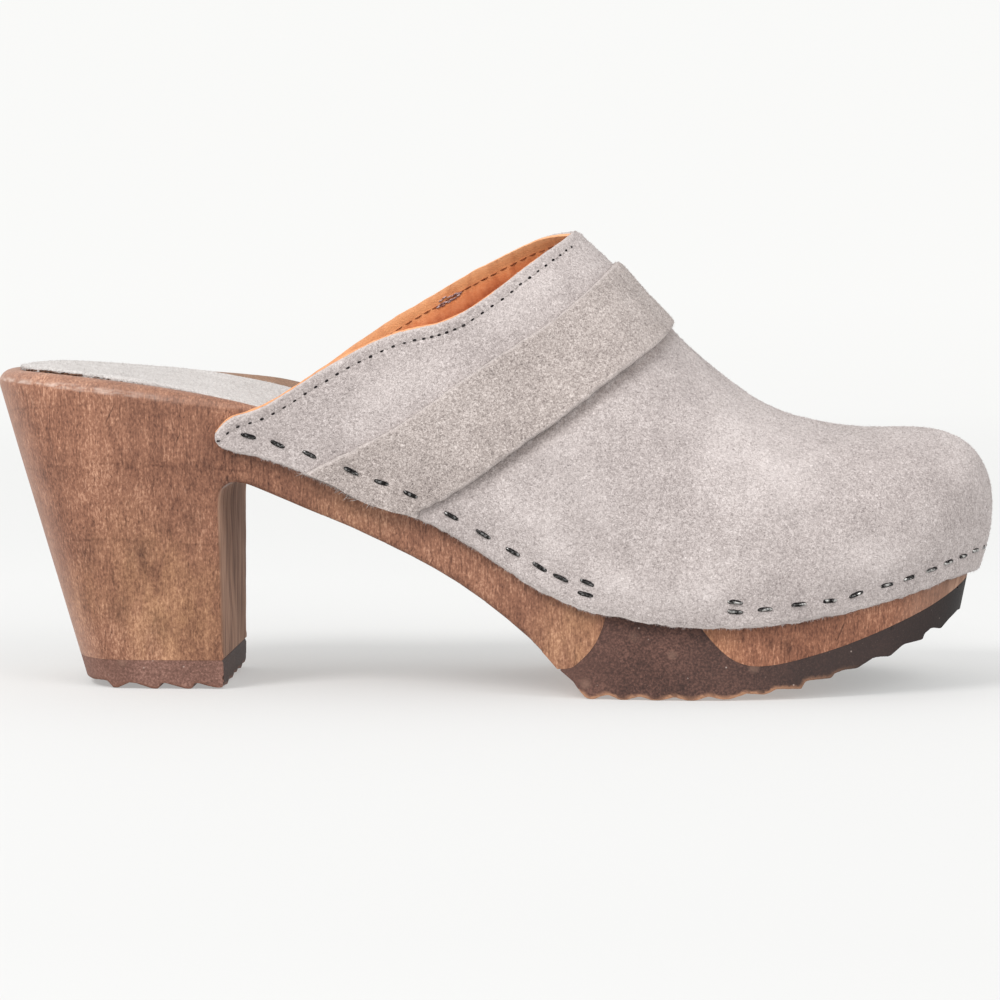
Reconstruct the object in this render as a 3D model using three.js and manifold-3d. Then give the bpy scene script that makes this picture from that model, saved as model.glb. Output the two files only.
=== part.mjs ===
// A women's heeled wooden clog, right foot, open at the heel.
// A two-piece carved wooden sole (heel and shank, and toe) is joined under the ball of the foot by a rubber
// outsole that fills the flex gap between them. A suede upper is fixed round the edge of the wood, a wide
// suede strap lies over the instep, and a suede insole lies on the footbed.
// Millimetres. The tables use x from the back of the heel seat towards the toe, y towards the inner (medial)
// side of the foot and z up from the floor. The group is then moved so that its origin is the centre of the
// bounding box's underside.
import * as THREE from "three";
import { mergeVertices } from "three/addons/utils/BufferGeometryUtils.js";
import Module from "manifold-3d";

const wasm = await Module();
wasm.setup();

// ---- driving dimensions ------------------------------------------------------------------------------
const TOE_X = 234.5; // foremost point of the wooden sole
const TOE_Y = 5; // sideways place of that point: a right foot's toe leans to the inner side
const HEEL_CAP_R = 30; // length of the rounded back of the heel seat
const GAP = 0.3; // clearance between touching pieces
const WALL = 2.2; // upper: suede and lining together
const STRAP_T = 1.6; // strap thickness
const BACK_LEAN = 0.3; // the heel's back runs forward this much for each millimetre down
const BACK_TOP = 73; // height where the back of the heel starts to lean
const LIFT_H = 7; // height of the rubber heel lift
const BREAST_X = 56.8; // front face of the heel block
const RIM_R_HEEL = 3.8, RIM_R_FRONT = 1; // rounding of the footbed's rim
const TAPER_Z = 56; // the heel block narrows below this height
const TAPER_LAT = 0.145; // narrowing per millimetre, outer side
const TAPER_MED = 0.105; // narrowing per millimetre, inner side
const THROAT_X = 139.8; // top of the collar on the instep
const TAIL_X = 56.2; // rearmost point of the upper
const TOE_RAKE = 0.2; // the sole's toe end runs back this much for each millimetre down, below the wood
const RIDGE_SWELL = 0.8; // how evenly the upper's outward swell is spread over its height
const STRAP_STANDOFF = 0.8; // how far the strap's front edge lifts off the upper
const INSOLE_X0 = 5.6, INSOLE_X1 = 224; // ends of the insole
const INSOLE_EDGE = 0.52; // the insole's thickness at its edges, as a share of the middle

// ---- tables ------------------------------------------------------------------------------------------
// Half widths of the sole at its top edge, before the ends are rounded.
const SOLE_PLAN = [
  { x: 0, lat: 29.6, med: 29.6 },
  { x: 30, lat: 30.5, med: 30.5 },
  { x: 50, lat: 30.5, med: 30.5 },
  { x: 70, lat: 30.1, med: 29.8 },
  { x: 90, lat: 30.6, med: 28.4 },
  { x: 110, lat: 33.0, med: 29.2 },
  { x: 130, lat: 36.3, med: 33.4 },
  { x: 145, lat: 38.7, med: 38.2 },
  { x: 160, lat: 40.3, med: 42.4 },
  { x: 175, lat: 40.6, med: 44.6 },
  { x: 190, lat: 40.6, med: 45.2 },
  { x: 236, lat: 40.6, med: 45.2 },
];
// Height of the footbed's outer edge, how much higher the inner edge is, and how deep the middle is dished.
const FOOTBED = [
  { x: 0, edge: 76.7, raise: 0, dish: 2.2 },
  { x: 12, edge: 76.5, raise: 0, dish: 2.4 },
  { x: 25, edge: 75.4, raise: 0.3, dish: 2.8 },
  { x: 37, edge: 74.1, raise: 1.2, dish: 3.3 },
  { x: 48, edge: 72.6, raise: 2.3, dish: 3.9 },
  { x: 59, edge: 70.3, raise: 3.4, dish: 4.2 },
  { x: 70, edge: 67.0, raise: 4.4, dish: 4.0 },
  { x: 80, edge: 62.9, raise: 4.7, dish: 3.4 },
  { x: 90, edge: 58.6, raise: 4.5, dish: 2.8 },
  { x: 105, edge: 51.9, raise: 4.0, dish: 2.1 },
  { x: 120, edge: 44.6, raise: 2.8, dish: 1.6 },
  { x: 135, edge: 37.6, raise: 1.4, dish: 1.6 },
  { x: 150, edge: 31.8, raise: 0.4, dish: 1.6 },
  { x: 165, edge: 28.2, raise: 0, dish: 1.6 },
  { x: 180, edge: 27.0, raise: 0, dish: 1.6 },
  { x: 195, edge: 27.6, raise: 0, dish: 1.5 },
  { x: 210, edge: 29.8, raise: 0, dish: 1.3 },
  { x: 225, edge: 33.2, raise: 0, dish: 1.1 },
  { x: 236, edge: 36.2, raise: 0, dish: 1.0 },
];
// Underside of the wood from the foot of the heel breast, through the fillet, along the shank.
const SHANK = [
  { x: 56.9, z: 7 }, { x: 56.8, z: 20 }, { x: 56.7, z: 34 }, { x: 56.7, z: 45.5 }, { x: 57.3, z: 48.2 },
  { x: 58.9, z: 49.6 }, { x: 61.1, z: 49.9 }, { x: 63.3, z: 49.4 }, { x: 71, z: 46.3 }, { x: 79.1, z: 42.9 },
  { x: 86.8, z: 39.9 }, { x: 99.6, z: 34.1 }, { x: 106.4, z: 30.7 }, { x: 113.2, z: 26.8 }, { x: 120, z: 22.2 },
  { x: 126.8, z: 16.9 }, { x: 131.6, z: 12.7 }, { x: 136.8, z: 7.0 },
];
// Front end of the rear wood, where the rubber of the flex gap meets it.
const GAP_REAR = [
  { x: 136.8, z: 7.0 }, { x: 139.9, z: 7.3 }, { x: 142.6, z: 9.4 }, { x: 145.3, z: 12.5 }, { x: 147.1, z: 16.1 },
  { x: 148.2, z: 20 }, { x: 148.7, z: 25 }, { x: 148.9, z: 40 },
];
// Rear end and underside of the front wood, from the footbed down and on to the toe.
const GAP_FRONT = [
  { x: 166.6, z: 40 }, { x: 166.8, z: 26 }, { x: 167.6, z: 22.4 }, { x: 168.9, z: 19.5 }, { x: 170.8, z: 16.7 },
  { x: 172.8, z: 14.2 }, { x: 175.2, z: 11.7 }, { x: 177.8, z: 9.7 }, { x: 180.7, z: 8.5 }, { x: 183.9, z: 8.1 },
  { x: 188.5, z: 8.5 }, { x: 195.4, z: 10 }, { x: 202.4, z: 11.9 }, { x: 209.4, z: 14.2 }, { x: 216.6, z: 16.9 },
  { x: 223.8, z: 19.9 }, { x: 230.3, z: 23.3 }, { x: 236.5, z: 27.2 },
];
// Underside of the rubber in side view: worn saw teeth on the heel, low waves under the ball, then teeth that
// climb the toe spring. The heel stands on three teeth and the forefoot on four.
const HEEL_TREAD = [
  { x: 14, z: 1.9 }, { x: 24.6, z: 1.5 }, { x: 27.4, z: 1.75 }, { x: 28.7, z: 1.6 }, { x: 29.4, z: 0.8 }, { x: 30.1, z: 0.1 },
  { x: 31.2, z: 0.1 }, { x: 34.2, z: 1.5 }, { x: 35.8, z: 1.3 }, { x: 39.3, z: 0.15 }, { x: 39.9, z: 0 }, { x: 41.1, z: 0 },
  { x: 41.8, z: 1.4 }, { x: 42.8, z: 1.4 }, { x: 47.3, z: 0.15 }, { x: 47.9, z: 0 }, { x: 49.1, z: 0 }, { x: 49.7, z: 1.4 },
  { x: 50.8, z: 1.4 }, { x: 55, z: 0.15 }, { x: 55.5, z: 0 },
];
const FORE_TREAD = [
  { x: 142.2, z: 1.7 }, { x: 143.2, z: 0.6 }, { x: 144, z: 0 }, { x: 145.4, z: 0 }, { x: 147, z: 0.7 }, { x: 148.7, z: 1.1 },
  { x: 150.2, z: 0.6 }, { x: 151.4, z: 0 }, { x: 153.1, z: 0 }, { x: 154.7, z: 0.5 }, { x: 156.3, z: 0.85 }, { x: 157.7, z: 0.45 },
  { x: 159.1, z: 0 }, { x: 160.9, z: 0 }, { x: 162.7, z: 0.4 }, { x: 164.3, z: 0.8 }, { x: 165.9, z: 0.35 }, { x: 167.2, z: 0 },
  { x: 169.2, z: 0 }, { x: 170.8, z: 0.6 }, { x: 172.3, z: 1 }, { x: 174, z: 0.6 }, { x: 175.4, z: 0.3 }, { x: 177.1, z: 0.4 },
  { x: 179.2, z: 1 }, { x: 181, z: 1.65 }, { x: 184.9, z: 1.35 }, { x: 186.1, z: 1.6 }, { x: 188, z: 2.6 }, { x: 193.8, z: 2.45 },
  { x: 194.7, z: 4.1 }, { x: 195.8, z: 4.4 }, { x: 200.8, z: 4.7 }, { x: 201.7, z: 5.8 }, { x: 204, z: 6.5 }, { x: 207, z: 6.7 },
  { x: 210.6, z: 8.8 }, { x: 212.1, z: 9.1 }, { x: 214.6, z: 8.9 }, { x: 217.7, z: 11.35 }, { x: 218.5, z: 11.7 }, { x: 222.8, z: 12.3 },
  { x: 223.3, z: 13.7 }, { x: 225.1, z: 14.9 }, { x: 227.4, z: 14.3 }, { x: 229.5, z: 16.3 }, { x: 231.8, z: 17.9 }, { x: 234.1, z: 17.6 },
  { x: 240, z: 17.5 },
];
// The upper's lower edge on the side of the sole. x is the place on the sole's outline.
const LOWER_EDGE = [
  { x: 56, z: 59.3 }, { x: 58, z: 58.2 }, { x: 62.9, z: 56.9 }, { x: 67.4, z: 55.7 }, { x: 74, z: 53.5 },
  { x: 82, z: 50.4 }, { x: 93, z: 45.6 }, { x: 103, z: 42.5 }, { x: 113.4, z: 37.4 }, { x: 123.4, z: 31.3 },
  { x: 133, z: 25.4 }, { x: 142.7, z: 21.5 }, { x: 150, z: 19.8 }, { x: 160, z: 18.2 }, { x: 170, z: 17.3 },
  { x: 180, z: 17.3 }, { x: 190, z: 18.1 }, { x: 202, z: 20.0 }, { x: 216, z: 23.1 }, { x: 225, z: 25.6 },
  { x: 231, z: 27.0 }, { x: 234.5, z: 27.2 },
];
// Top line of the last. Behind the throat it is the instep that the collar cuts off.
const TOP_LINE = [
  { x: 50, z: 206 }, { x: 80, z: 172 }, { x: 110, z: 139.5 }, { x: 130, z: 118.6 }, { x: 139.8, z: 109.0 },
  { x: 149.6, z: 99.9 }, { x: 163, z: 84.9 }, { x: 172.7, z: 75.9 }, { x: 180.7, z: 69.8 }, { x: 188.7, z: 65.6 },
  { x: 196.7, z: 63.1 }, { x: 204.7, z: 61.6 }, { x: 212.6, z: 61.2 }, { x: 222, z: 61.7 }, { x: 232, z: 61.8 },
  { x: 244, z: 61.2 },
];
// How each rib of the upper is shaped, by its place on the sole's outline: ridge is the x where it reaches
// the top line, side is how far that point lies to the inner side, full is how square the rib is, and
// bulge is how far it swells out over the edge of the wood.
const RIBS = [
  { x: 56, ridge: 56, side: 0.5, full: 1.95, bulge: 0.1 },
  { x: 90, ridge: 90, side: 0.8, full: 1.95, bulge: 0.3 },
  { x: 120, ridge: 120, side: 1.4, full: 2.0, bulge: 0.7 },
  { x: 140, ridge: 140, side: 2, full: 2.05, bulge: 1.1 },
  { x: 160, ridge: 159, side: 2.6, full: 2.1, bulge: 1.5 },
  { x: 180, ridge: 175, side: 3.3, full: 2.2, bulge: 1.9 },
  { x: 200, ridge: 188, side: 4.1, full: 2.5, bulge: 2.3 },
  { x: 215, ridge: 196, side: 4.6, full: 3.1, bulge: 2.7 },
  { x: 225, ridge: 200.5, side: 4.8, full: 3.9, bulge: 3.0 },
  { x: 231, ridge: 203, side: 4.95, full: 4.6, bulge: 3.2 },
  { x: 234.5, ridge: 204.5, side: 5, full: 5.2, bulge: 3.3 },
];
// The collar: height of the upper's top edge on the outer and inner side.
const COLLAR = [
  { x: 56, lat: 61.4, med: 61.4 }, { x: 57.7, lat: 63.6, med: 63.8 }, { x: 62.6, lat: 66.2, med: 66.6 },
  { x: 69.2, lat: 68.9, med: 69.8 }, { x: 74.8, lat: 72.4, med: 73.6 }, { x: 80.9, lat: 76.3, med: 78.0 },
  { x: 90.9, lat: 81.8, med: 84.8 }, { x: 98, lat: 84.8, med: 89.2 }, { x: 104.5, lat: 86.5, med: 93.0 },
  { x: 111, lat: 88.3, med: 96.8 }, { x: 117.6, lat: 91.9, med: 100.4 }, { x: 126.2, lat: 98.3, med: 104.8 },
  { x: 132.7, lat: 103.4, med: 107.6 }, { x: 137, lat: 106.6, med: 108.6 }, { x: 139.8, lat: 109.0, med: 109.0 },
];
// The strap's rear and front edges, from the lower edge of the upper (along = 0) up to the top line (1).
const STRAP = [
  { along: 0, rearX: 77.2, rearZ: 52.2, frontX: 101.8, frontZ: 42.9 },
  { along: 0.1, rearX: 84.5, rearZ: 56.0, frontX: 108.0, frontZ: 46.0 },
  { along: 0.2, rearX: 92.0, rearZ: 59.6, frontX: 114.0, frontZ: 49.3 },
  { along: 0.3, rearX: 99.5, rearZ: 63.7, frontX: 120.3, frontZ: 53.7 },
  { along: 0.4, rearX: 107.0, rearZ: 68.8, frontX: 126.8, frontZ: 58.5 },
  { along: 0.5, rearX: 114.5, rearZ: 74.3, frontX: 133.5, frontZ: 63.2 },
  { along: 0.6, rearX: 122.0, rearZ: 79.5, frontX: 140.5, frontZ: 68.2 },
  { along: 0.7, rearX: 129.3, rearZ: 84.4, frontX: 147.0, frontZ: 73.5 },
  { along: 0.8, rearX: 136.4, rearZ: 89.4, frontX: 153.3, frontZ: 78.3 },
  { along: 0.9, rearX: 142.9, rearZ: 95.3, frontX: 159.7, frontZ: 82.6 },
  { along: 1, rearX: 149.0, rearZ: 101.9, frontX: 163.8, frontZ: 86.2 },
];
// Half widths of the insole, and its thickness along the middle; the edges are thinner.
const INSOLE = [
  { x: 5, lat: 24.4, med: 24.6, thick: 2.6 },
  { x: 30, lat: 24.0, med: 24.4, thick: 2.6 },
  { x: 50, lat: 22.0, med: 22.4, thick: 2.5 },
  { x: 70, lat: 20.6, med: 20.0, thick: 2.3 },
  { x: 90, lat: 20.2, med: 18.4, thick: 2.0 },
  { x: 110, lat: 22.0, med: 19.4, thick: 2.0 },
  { x: 130, lat: 26.0, med: 24.0, thick: 2.0 },
  { x: 150, lat: 29.6, med: 30.8, thick: 2.0 },
  { x: 170, lat: 31.8, med: 35.2, thick: 2.0 },
  { x: 225, lat: 31.8, med: 35.6, thick: 2.0 },
];

// ---- curves ------------------------------------------------------------------------------------------
// Natural cubic spline through one column of a table.
function curve(rows, column, key = "x") {
  const n = rows.length, X = rows.map((r) => r[key]), Y = rows.map((r) => r[column]);
  const m = new Array(n).fill(0), c = new Array(n).fill(0), d = new Array(n).fill(0);
  for (let i = 1; i < n - 1; i++) {
    const h0 = X[i] - X[i - 1], h1 = X[i + 1] - X[i];
    const w = 2 * (h0 + h1) - h0 * c[i - 1];
    c[i] = h1 / w;
    d[i] = (6 * ((Y[i + 1] - Y[i]) / h1 - (Y[i] - Y[i - 1]) / h0) - h0 * d[i - 1]) / w;
  }
  for (let i = n - 2; i > 0; i--) m[i] = d[i] - c[i] * m[i + 1];
  return (x) => {
    const q = Math.min(Math.max(x, X[0]), X[n - 1]);
    let i = 0;
    while (i < n - 2 && q > X[i + 1]) i++;
    const h = X[i + 1] - X[i], a = (X[i + 1] - q) / h, b = (q - X[i]) / h;
    return a * Y[i] + b * Y[i + 1] + ((a ** 3 - a) * m[i] + (b ** 3 - b) * m[i + 1]) * h * h / 6;
  };
}
const clamp = (v, lo, hi) => Math.min(Math.max(v, lo), hi);
const smooth = (v) => { const q = clamp(v, 0, 1); return q * q * (3 - 2 * q); };
const mix = (a, b, k) => a + (b - a) * k;

const widthLat = curve(SOLE_PLAN, "lat"), widthMed = curve(SOLE_PLAN, "med");
const bedEdge = curve(FOOTBED, "edge"), bedRaise = curve(FOOTBED, "raise"), bedDish = curve(FOOTBED, "dish");
const lowerZ = curve(LOWER_EDGE, "z"), topZ = curve(TOP_LINE, "z");
const ribRidge = curve(RIBS, "ridge"), ribSide = curve(RIBS, "side"), ribFull = curve(RIBS, "full"), ribBulge = curve(RIBS, "bulge");
const collarLat = curve(COLLAR, "lat"), collarMed = curve(COLLAR, "med");
const strapRearX = curve(STRAP, "rearX", "along"), strapRearZ = curve(STRAP, "rearZ", "along");
const strapFrontX = curve(STRAP, "frontX", "along"), strapFrontZ = curve(STRAP, "frontZ", "along");
const inLat = curve(INSOLE, "lat"), inMed = curve(INSOLE, "med"), inThick = curve(INSOLE, "thick");

// ---- the sole's outline ------------------------------------------------------------------------------
const cap = (u, p) => (u <= 0 ? 1 : u >= 1 ? 0 : (1 - u ** p) ** (1 / p));
const heelBack = (z) => Math.max(0, BACK_TOP - z) * BACK_LEAN;
const toeTip = (z) => TOE_X - Math.max(0, 26 - z) * TOE_RAKE;
// y of the outline at x and height z; side is -1 outer, +1 inner.
function outlineY(x, side, z = 80) {
  const back = heelBack(z), k = clamp(z / BACK_TOP, 0, 1);
  const heel = cap((back + mix(14, HEEL_CAP_R, k) - x) / mix(14, HEEL_CAP_R, k), mix(2.4, 2.12, k));
  const toeFrom = side < 0 ? 170 : 178, toe = cap((x - toeFrom) / (toeTip(z) - toeFrom), side < 0 ? 1.88 : 2.08);
  const mid = TOE_Y * smooth((x - 120) / 90);
  const taper = Math.max(0, TAPER_Z - z) * (side < 0 ? TAPER_LAT : TAPER_MED) * (1 - smooth((x - 58) / 40));
  const draft = Math.max(0, 24 - z) * 0.045 * smooth((x - 100) / 40);
  const w = (side < 0 ? widthLat(x) : widthMed(x)) - taper - draft;
  return mid + (side * w - mid) * toe * heel;
}
// Places along the outline at height z, closer together where the ends are rounded.
const END_BACK = 26, END_TOE = 64;
function stations(z, nCap = 9, nMid = 15) {
  const x0 = heelBack(z), x1 = toeTip(z), xs = [];
  for (let i = 0; i < nCap; i++) xs.push(x0 + END_BACK * (1 - Math.cos((i / nCap) * Math.PI / 2)));
  for (let i = 0; i < nMid; i++) xs.push(mix(x0 + END_BACK, x1 - END_TOE, i / nMid));
  for (let i = 0; i <= nCap; i++) xs.push(x1 - END_TOE + END_TOE * Math.sin((i / nCap) * Math.PI / 2));
  return xs;
}
const N_STATIONS = stations(0).length;
// Point i of the outline at height z: from the toe's tip the count runs back along the outer side, round the
// heel and forward along the inner side.
function outlinePoint(i, z) {
  const last = N_STATIONS - 1, k = i <= last ? last - i : i - last, xs = stations(z);
  if (k === last) return [toeTip(z), TOE_Y];
  if (k === 0) return [heelBack(z), 0];
  return [xs[k], outlineY(xs[k], i <= last ? -1 : 1, z)];
}

// ---- geometry makers ---------------------------------------------------------------------------------
function geometryOf(points, faces) {
  const g = new THREE.BufferGeometry();
  g.setAttribute("position", new THREE.Float32BufferAttribute(points.flat(), 3));
  g.setIndex(faces.flat());
  return g;
}
// Two triangles for the quad a-b-c-d, split along its shorter diagonal. Triangles with a repeated corner are left out.
function split(points, [a, b, c, d]) {
  const gap = (i, j) => Math.hypot(...points[i].map((v, k) => v - points[j][k]));
  const pair = gap(a, c) <= gap(b, d) ? [[a, b, c], [a, c, d]] : [[a, b, d], [b, c, d]];
  return pair.filter((f) => new Set(f).size === 3);
}
// A closed solid between two grids of equal size: front faces outwards, back faces the other way.
function between(front, back) {
  const rows = front.length, cols = front[0].length, at = (i, j, k) => (k * rows + i) * cols + j, faces = [];
  const points = [...front.flat(), ...back.flat()];
  const quad = (...q) => faces.push(...split(points, q));
  for (let i = 0; i < rows - 1; i++)
    for (let j = 0; j < cols - 1; j++) {
      quad(at(i, j, 0), at(i + 1, j, 0), at(i + 1, j + 1, 0), at(i, j + 1, 0));
      quad(at(i, j, 1), at(i, j + 1, 1), at(i + 1, j + 1, 1), at(i + 1, j, 1));
    }
  for (let j = 0; j < cols - 1; j++) {
    quad(at(0, j, 0), at(0, j + 1, 0), at(0, j + 1, 1), at(0, j, 1));
    quad(at(rows - 1, j, 0), at(rows - 1, j, 1), at(rows - 1, j + 1, 1), at(rows - 1, j + 1, 0));
  }
  for (let i = 0; i < rows - 1; i++) {
    quad(at(i, 0, 0), at(i, 0, 1), at(i + 1, 0, 1), at(i + 1, 0, 0));
    quad(at(i, cols - 1, 0), at(i + 1, cols - 1, 0), at(i + 1, cols - 1, 1), at(i, cols - 1, 1));
  }
  return geometryOf(points, faces);
}
function solid(geometry) {
  const g = geometry.index ? geometry.toNonIndexed() : geometry.clone();
  for (const name of Object.keys(g.attributes)) if (name !== "position") g.deleteAttribute(name);
  const merged = mergeVertices(g, 1e-4);
  const index = [];
  const src = merged.index.array;
  for (let i = 0; i < src.length; i += 3)
    if (src[i] !== src[i + 1] && src[i + 1] !== src[i + 2] && src[i] !== src[i + 2]) index.push(src[i], src[i + 1], src[i + 2]);
  return new wasm.Manifold(new wasm.Mesh({
    numProp: 3, vertProperties: new Float32Array(merged.attributes.position.array), triVerts: new Uint32Array(index),
  }));
}
function geometry(made) {
  const m = made.getMesh(), n = m.numProp, v = new Float32Array(m.numVert * 3);
  for (let i = 0; i < m.numVert; i++) v.set(m.vertProperties.subarray(i * n, i * n + 3), i * 3);
  const g = new THREE.BufferGeometry();
  g.setAttribute("position", new THREE.BufferAttribute(v, 3));
  g.setIndex(new THREE.BufferAttribute(new Uint32Array(m.triVerts), 1));
  return g;
}
// A side-view profile carried across the whole width.
function prism(profile) {
  const shape = new THREE.Shape(profile.map((p) => new THREE.Vector2(p.x, p.z)));
  const g = new THREE.ExtrudeGeometry(shape, { depth: 120, bevelEnabled: false, steps: 1 });
  g.rotateX(Math.PI / 2);
  g.translate(0, 60, 0);
  return solid(g);
}
// Moves a side-view line sideways by d (to its left, going along it).
function shifted(points, d) {
  return points.map((p, i) => {
    const a = points[Math.max(0, i - 1)], b = points[Math.min(points.length - 1, i + 1)];
    const l = Math.hypot(b.x - a.x, b.z - a.z);
    return { x: p.x - (d * (b.z - a.z)) / l, z: p.z + (d * (b.x - a.x)) / l };
  });
}

// ---- the sole's block ------------------------------------------------------------------------------------
// Footbed height. s runs across from the outer side (0) to the inner (1).
function bedZ(x, y) {
  const q = clamp(x, 0.4, TOE_X - 0.3), a = outlineY(q, -1), b = outlineY(q, 1);
  const s = clamp((y - a) / (b - a), 0, 1), heel = 1 - clamp((20 - q) / 20, 0, 1) ** 2.5;
  const toe = 1 - clamp((q - (TOE_X - 22)) / 22, 0, 1) ** 2.5;
  return bedEdge(q) + bedRaise(q) * smooth(s) - bedDish(q) * (1 - Math.abs(2 * s - 1) ** 2.6) * heel * toe;
}
// The block is a stack of rings: up the side wall, over the rounded rim, then in across the footbed to the spine.
const WALL_RINGS = [0, 0.13, 0.3, 0.5, 0.78, 1]; // share of the way from under the sole to the rim
const RIM_RINGS = [0.3, 0.62, 1]; // share of the rounding's quarter turn
const BED_RINGS = [0.25, 0.5, 0.75, 1]; // share of the way from the rim to the spine
const BELOW = -3; // the block starts under the floor and is cut off by the tread
function block() {
  const n = 2 * (N_STATIONS - 1), rings = [], spine = (p) => {
    const x = clamp(p[0], 22, TOE_X - 26);
    return [x, (outlineY(x, -1) + outlineY(x, 1)) / 2];
  };
  const rim = [];
  for (let i = 0; i < n; i++) {
    const p = outlinePoint(i, 80), r = mix(RIM_R_HEEL, RIM_R_FRONT, smooth((p[0] - 44) / 34)), c = spine(p);
    rim.push({ p, r, c, z: bedZ(p[0], p[1]), l: Math.hypot(c[0] - p[0], c[1] - p[1]) });
  }
  for (const f of WALL_RINGS) rings.push(rim.map(({ z, r }, i) => {
    const h = mix(BELOW, z - r, f);
    return [...outlinePoint(i, h), h];
  }));
  const inward = ({ p, c, l }, d) => [mix(p[0], c[0], d / l), mix(p[1], c[1], d / l)];
  for (const f of RIM_RINGS) rings.push(rim.map((e) => {
    const turn = f * Math.PI / 2, q = inward(e, e.r * (1 - Math.cos(turn)));
    return [...q, mix(e.z, bedZ(...q), f) - e.r * (1 - Math.sin(turn))];
  }));
  for (const f of BED_RINGS) rings.push(rim.map((e) => {
    const q = inward(e, mix(e.r, e.l, f));
    return [...q, bedZ(...q)];
  }));
  const points = rings.flat(), faces = [], low = points.push([118, 2, BELOW]) - 1;
  for (let k = 0; k < rings.length - 1; k++)
    for (let i = 0; i < n; i++) {
      const a = k * n + i, b = k * n + ((i + 1) % n);
      faces.push([a, b + n, b], [a, a + n, b + n]);
    }
  for (let i = 0; i < n; i++) faces.push([low, i, (i + 1) % n]);
  return solid(geometryOf(points, faces));
}
const sole = block();

const HIGH = 110;
const rearWood = prism([
  { x: -10, z: HIGH }, { x: -10, z: LIFT_H }, ...SHANK, ...GAP_REAR.slice(1), { x: GAP_REAR.at(-1).x, z: HIGH },
]).intersect(sole);
const frontWood = prism([...GAP_FRONT, { x: 260, z: GAP_FRONT.at(-1).z }, { x: 260, z: HIGH }, { x: GAP_FRONT[0].x, z: HIGH }]).intersect(sole);
const rubberRear = shifted(GAP_REAR, -GAP), rubberFront = shifted(GAP_FRONT, -GAP);
const outsole = prism([
  { x: 140.6, z: 4.1 }, ...FORE_TREAD, { x: 260, z: 30 },
  ...rubberFront.slice().reverse(), ...rubberRear.slice(1).reverse(), { x: 137.4, z: 6.55 },
]).intersect(sole);
const heelLift = prism([
  { x: 10, z: LIFT_H - GAP }, { x: 10, z: HEEL_TREAD[0].z }, ...HEEL_TREAD, { x: BREAST_X, z: 0 }, { x: BREAST_X, z: LIFT_H - GAP },
]).intersect(sole);

// ---- the upper ----------------------------------------------------------------------------------------
// A point of the last's skin: place x on the sole's outline, side, and t from lower edge (0) to top line (1).
const OFF = GAP + WALL;
function edgePoint(x, side) {
  const e = 0.02, q = Math.min(x, TOE_X - 1e-4), y = outlineY(q, side), d = (outlineY(Math.min(q + e, TOE_X), side) - outlineY(q - e, side)) / (2 * e);
  const l = Math.hypot(1, d), tip = x >= TOE_X - 1e-3;
  return { x: q, y, nx: tip ? 1 : (-side * d) / l, ny: tip ? 0 : side / l };
}
function skin(x, side, t, off = 0) {
  const e = edgePoint(x, side), xr = ribRidge(x), yr = ribSide(x), n = ribFull(x), z0 = lowerZ(x);
  const up = clamp(t, 0, 1) * Math.PI / 2, c = Math.max(Math.cos(up), 0), s = Math.sin(up), r = (c ** n + s ** n) ** (-1 / n);
  const a = 1 - r * c, b = Math.min(r * s, 1);
  const swell = ribBulge(x) * Math.max(Math.sin(Math.PI * b), 0) ** RIDGE_SWELL + OFF * (1 - a);
  const px = mix(e.x, xr, a) + e.nx * swell, py = mix(e.y, yr, a) + e.ny * swell;
  const p = [px, py, z0 + (topZ(px) - z0) * b];
  if (!off) return p;
  const nrm = skinNormal(x, side, t);
  return p.map((v, i) => v + nrm[i] * off);
}
function skinNormal(x, side, t) {
  const h = 0.004, hx = 0.05, tt = clamp(t, 0.001, 0.992), xx = Math.min(x, TOE_X - 0.06);
  const u0 = skin(xx - hx, side, tt), u1 = skin(xx + hx, side, tt), v0 = skin(xx, side, Math.max(0, tt - h)), v1 = skin(xx, side, Math.min(1, tt + h));
  const a = new THREE.Vector3(u1[0] - u0[0], u1[1] - u0[1], u1[2] - u0[2]), b = new THREE.Vector3(v1[0] - v0[0], v1[1] - v0[1], v1[2] - v0[2]);
  const n = a.cross(b).multiplyScalar(side < 0 ? 1 : -1).normalize();
  return n.toArray();
}
// The collar's place on a rib.
function collarT(x, side) {
  if (x >= THROAT_X) return 1;
  const z = side < 0 ? collarLat(x) : collarMed(x);
  let lo = 0, hi = 1;
  for (let k = 0; k < 40; k++) {
    const m = (lo + hi) / 2;
    if (skin(x, side, m)[2] < z) lo = m; else hi = m;
  }
  return (lo + hi) / 2;
}
function upperStations() {
  const xs = [];
  const back = 19, front = 23, span = TOE_X - THROAT_X;
  for (let i = 0; i < back; i++) xs.push(THROAT_X - (THROAT_X - TAIL_X) * (1 - i / back) ** 1.5);
  xs[1] = TAIL_X + 1.6;
  for (let i = 0; i <= front; i++) xs.push(THROAT_X + span * Math.sin((i / front) * Math.PI / 2));
  return xs;
}
function upperSolid() {
  const xs = upperStations(), nT = 12, outer = [], inner = [];
  for (const x of xs) {
    const row = [], back = [];
    for (const side of [-1, 1]) {
      const top = collarT(x, side), ts = [];
      for (let j = 0; j <= nT; j++) ts.push((j / nT) * top);
      if (side > 0) ts.reverse();
      for (const t of ts) {
        row.push(skin(x, side, t));
        back.push(skin(x, side, t, -WALL));
      }
    }
    outer.push(row);
    inner.push(back);
  }
  return { xs, outer, inner, nT };
}
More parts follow.
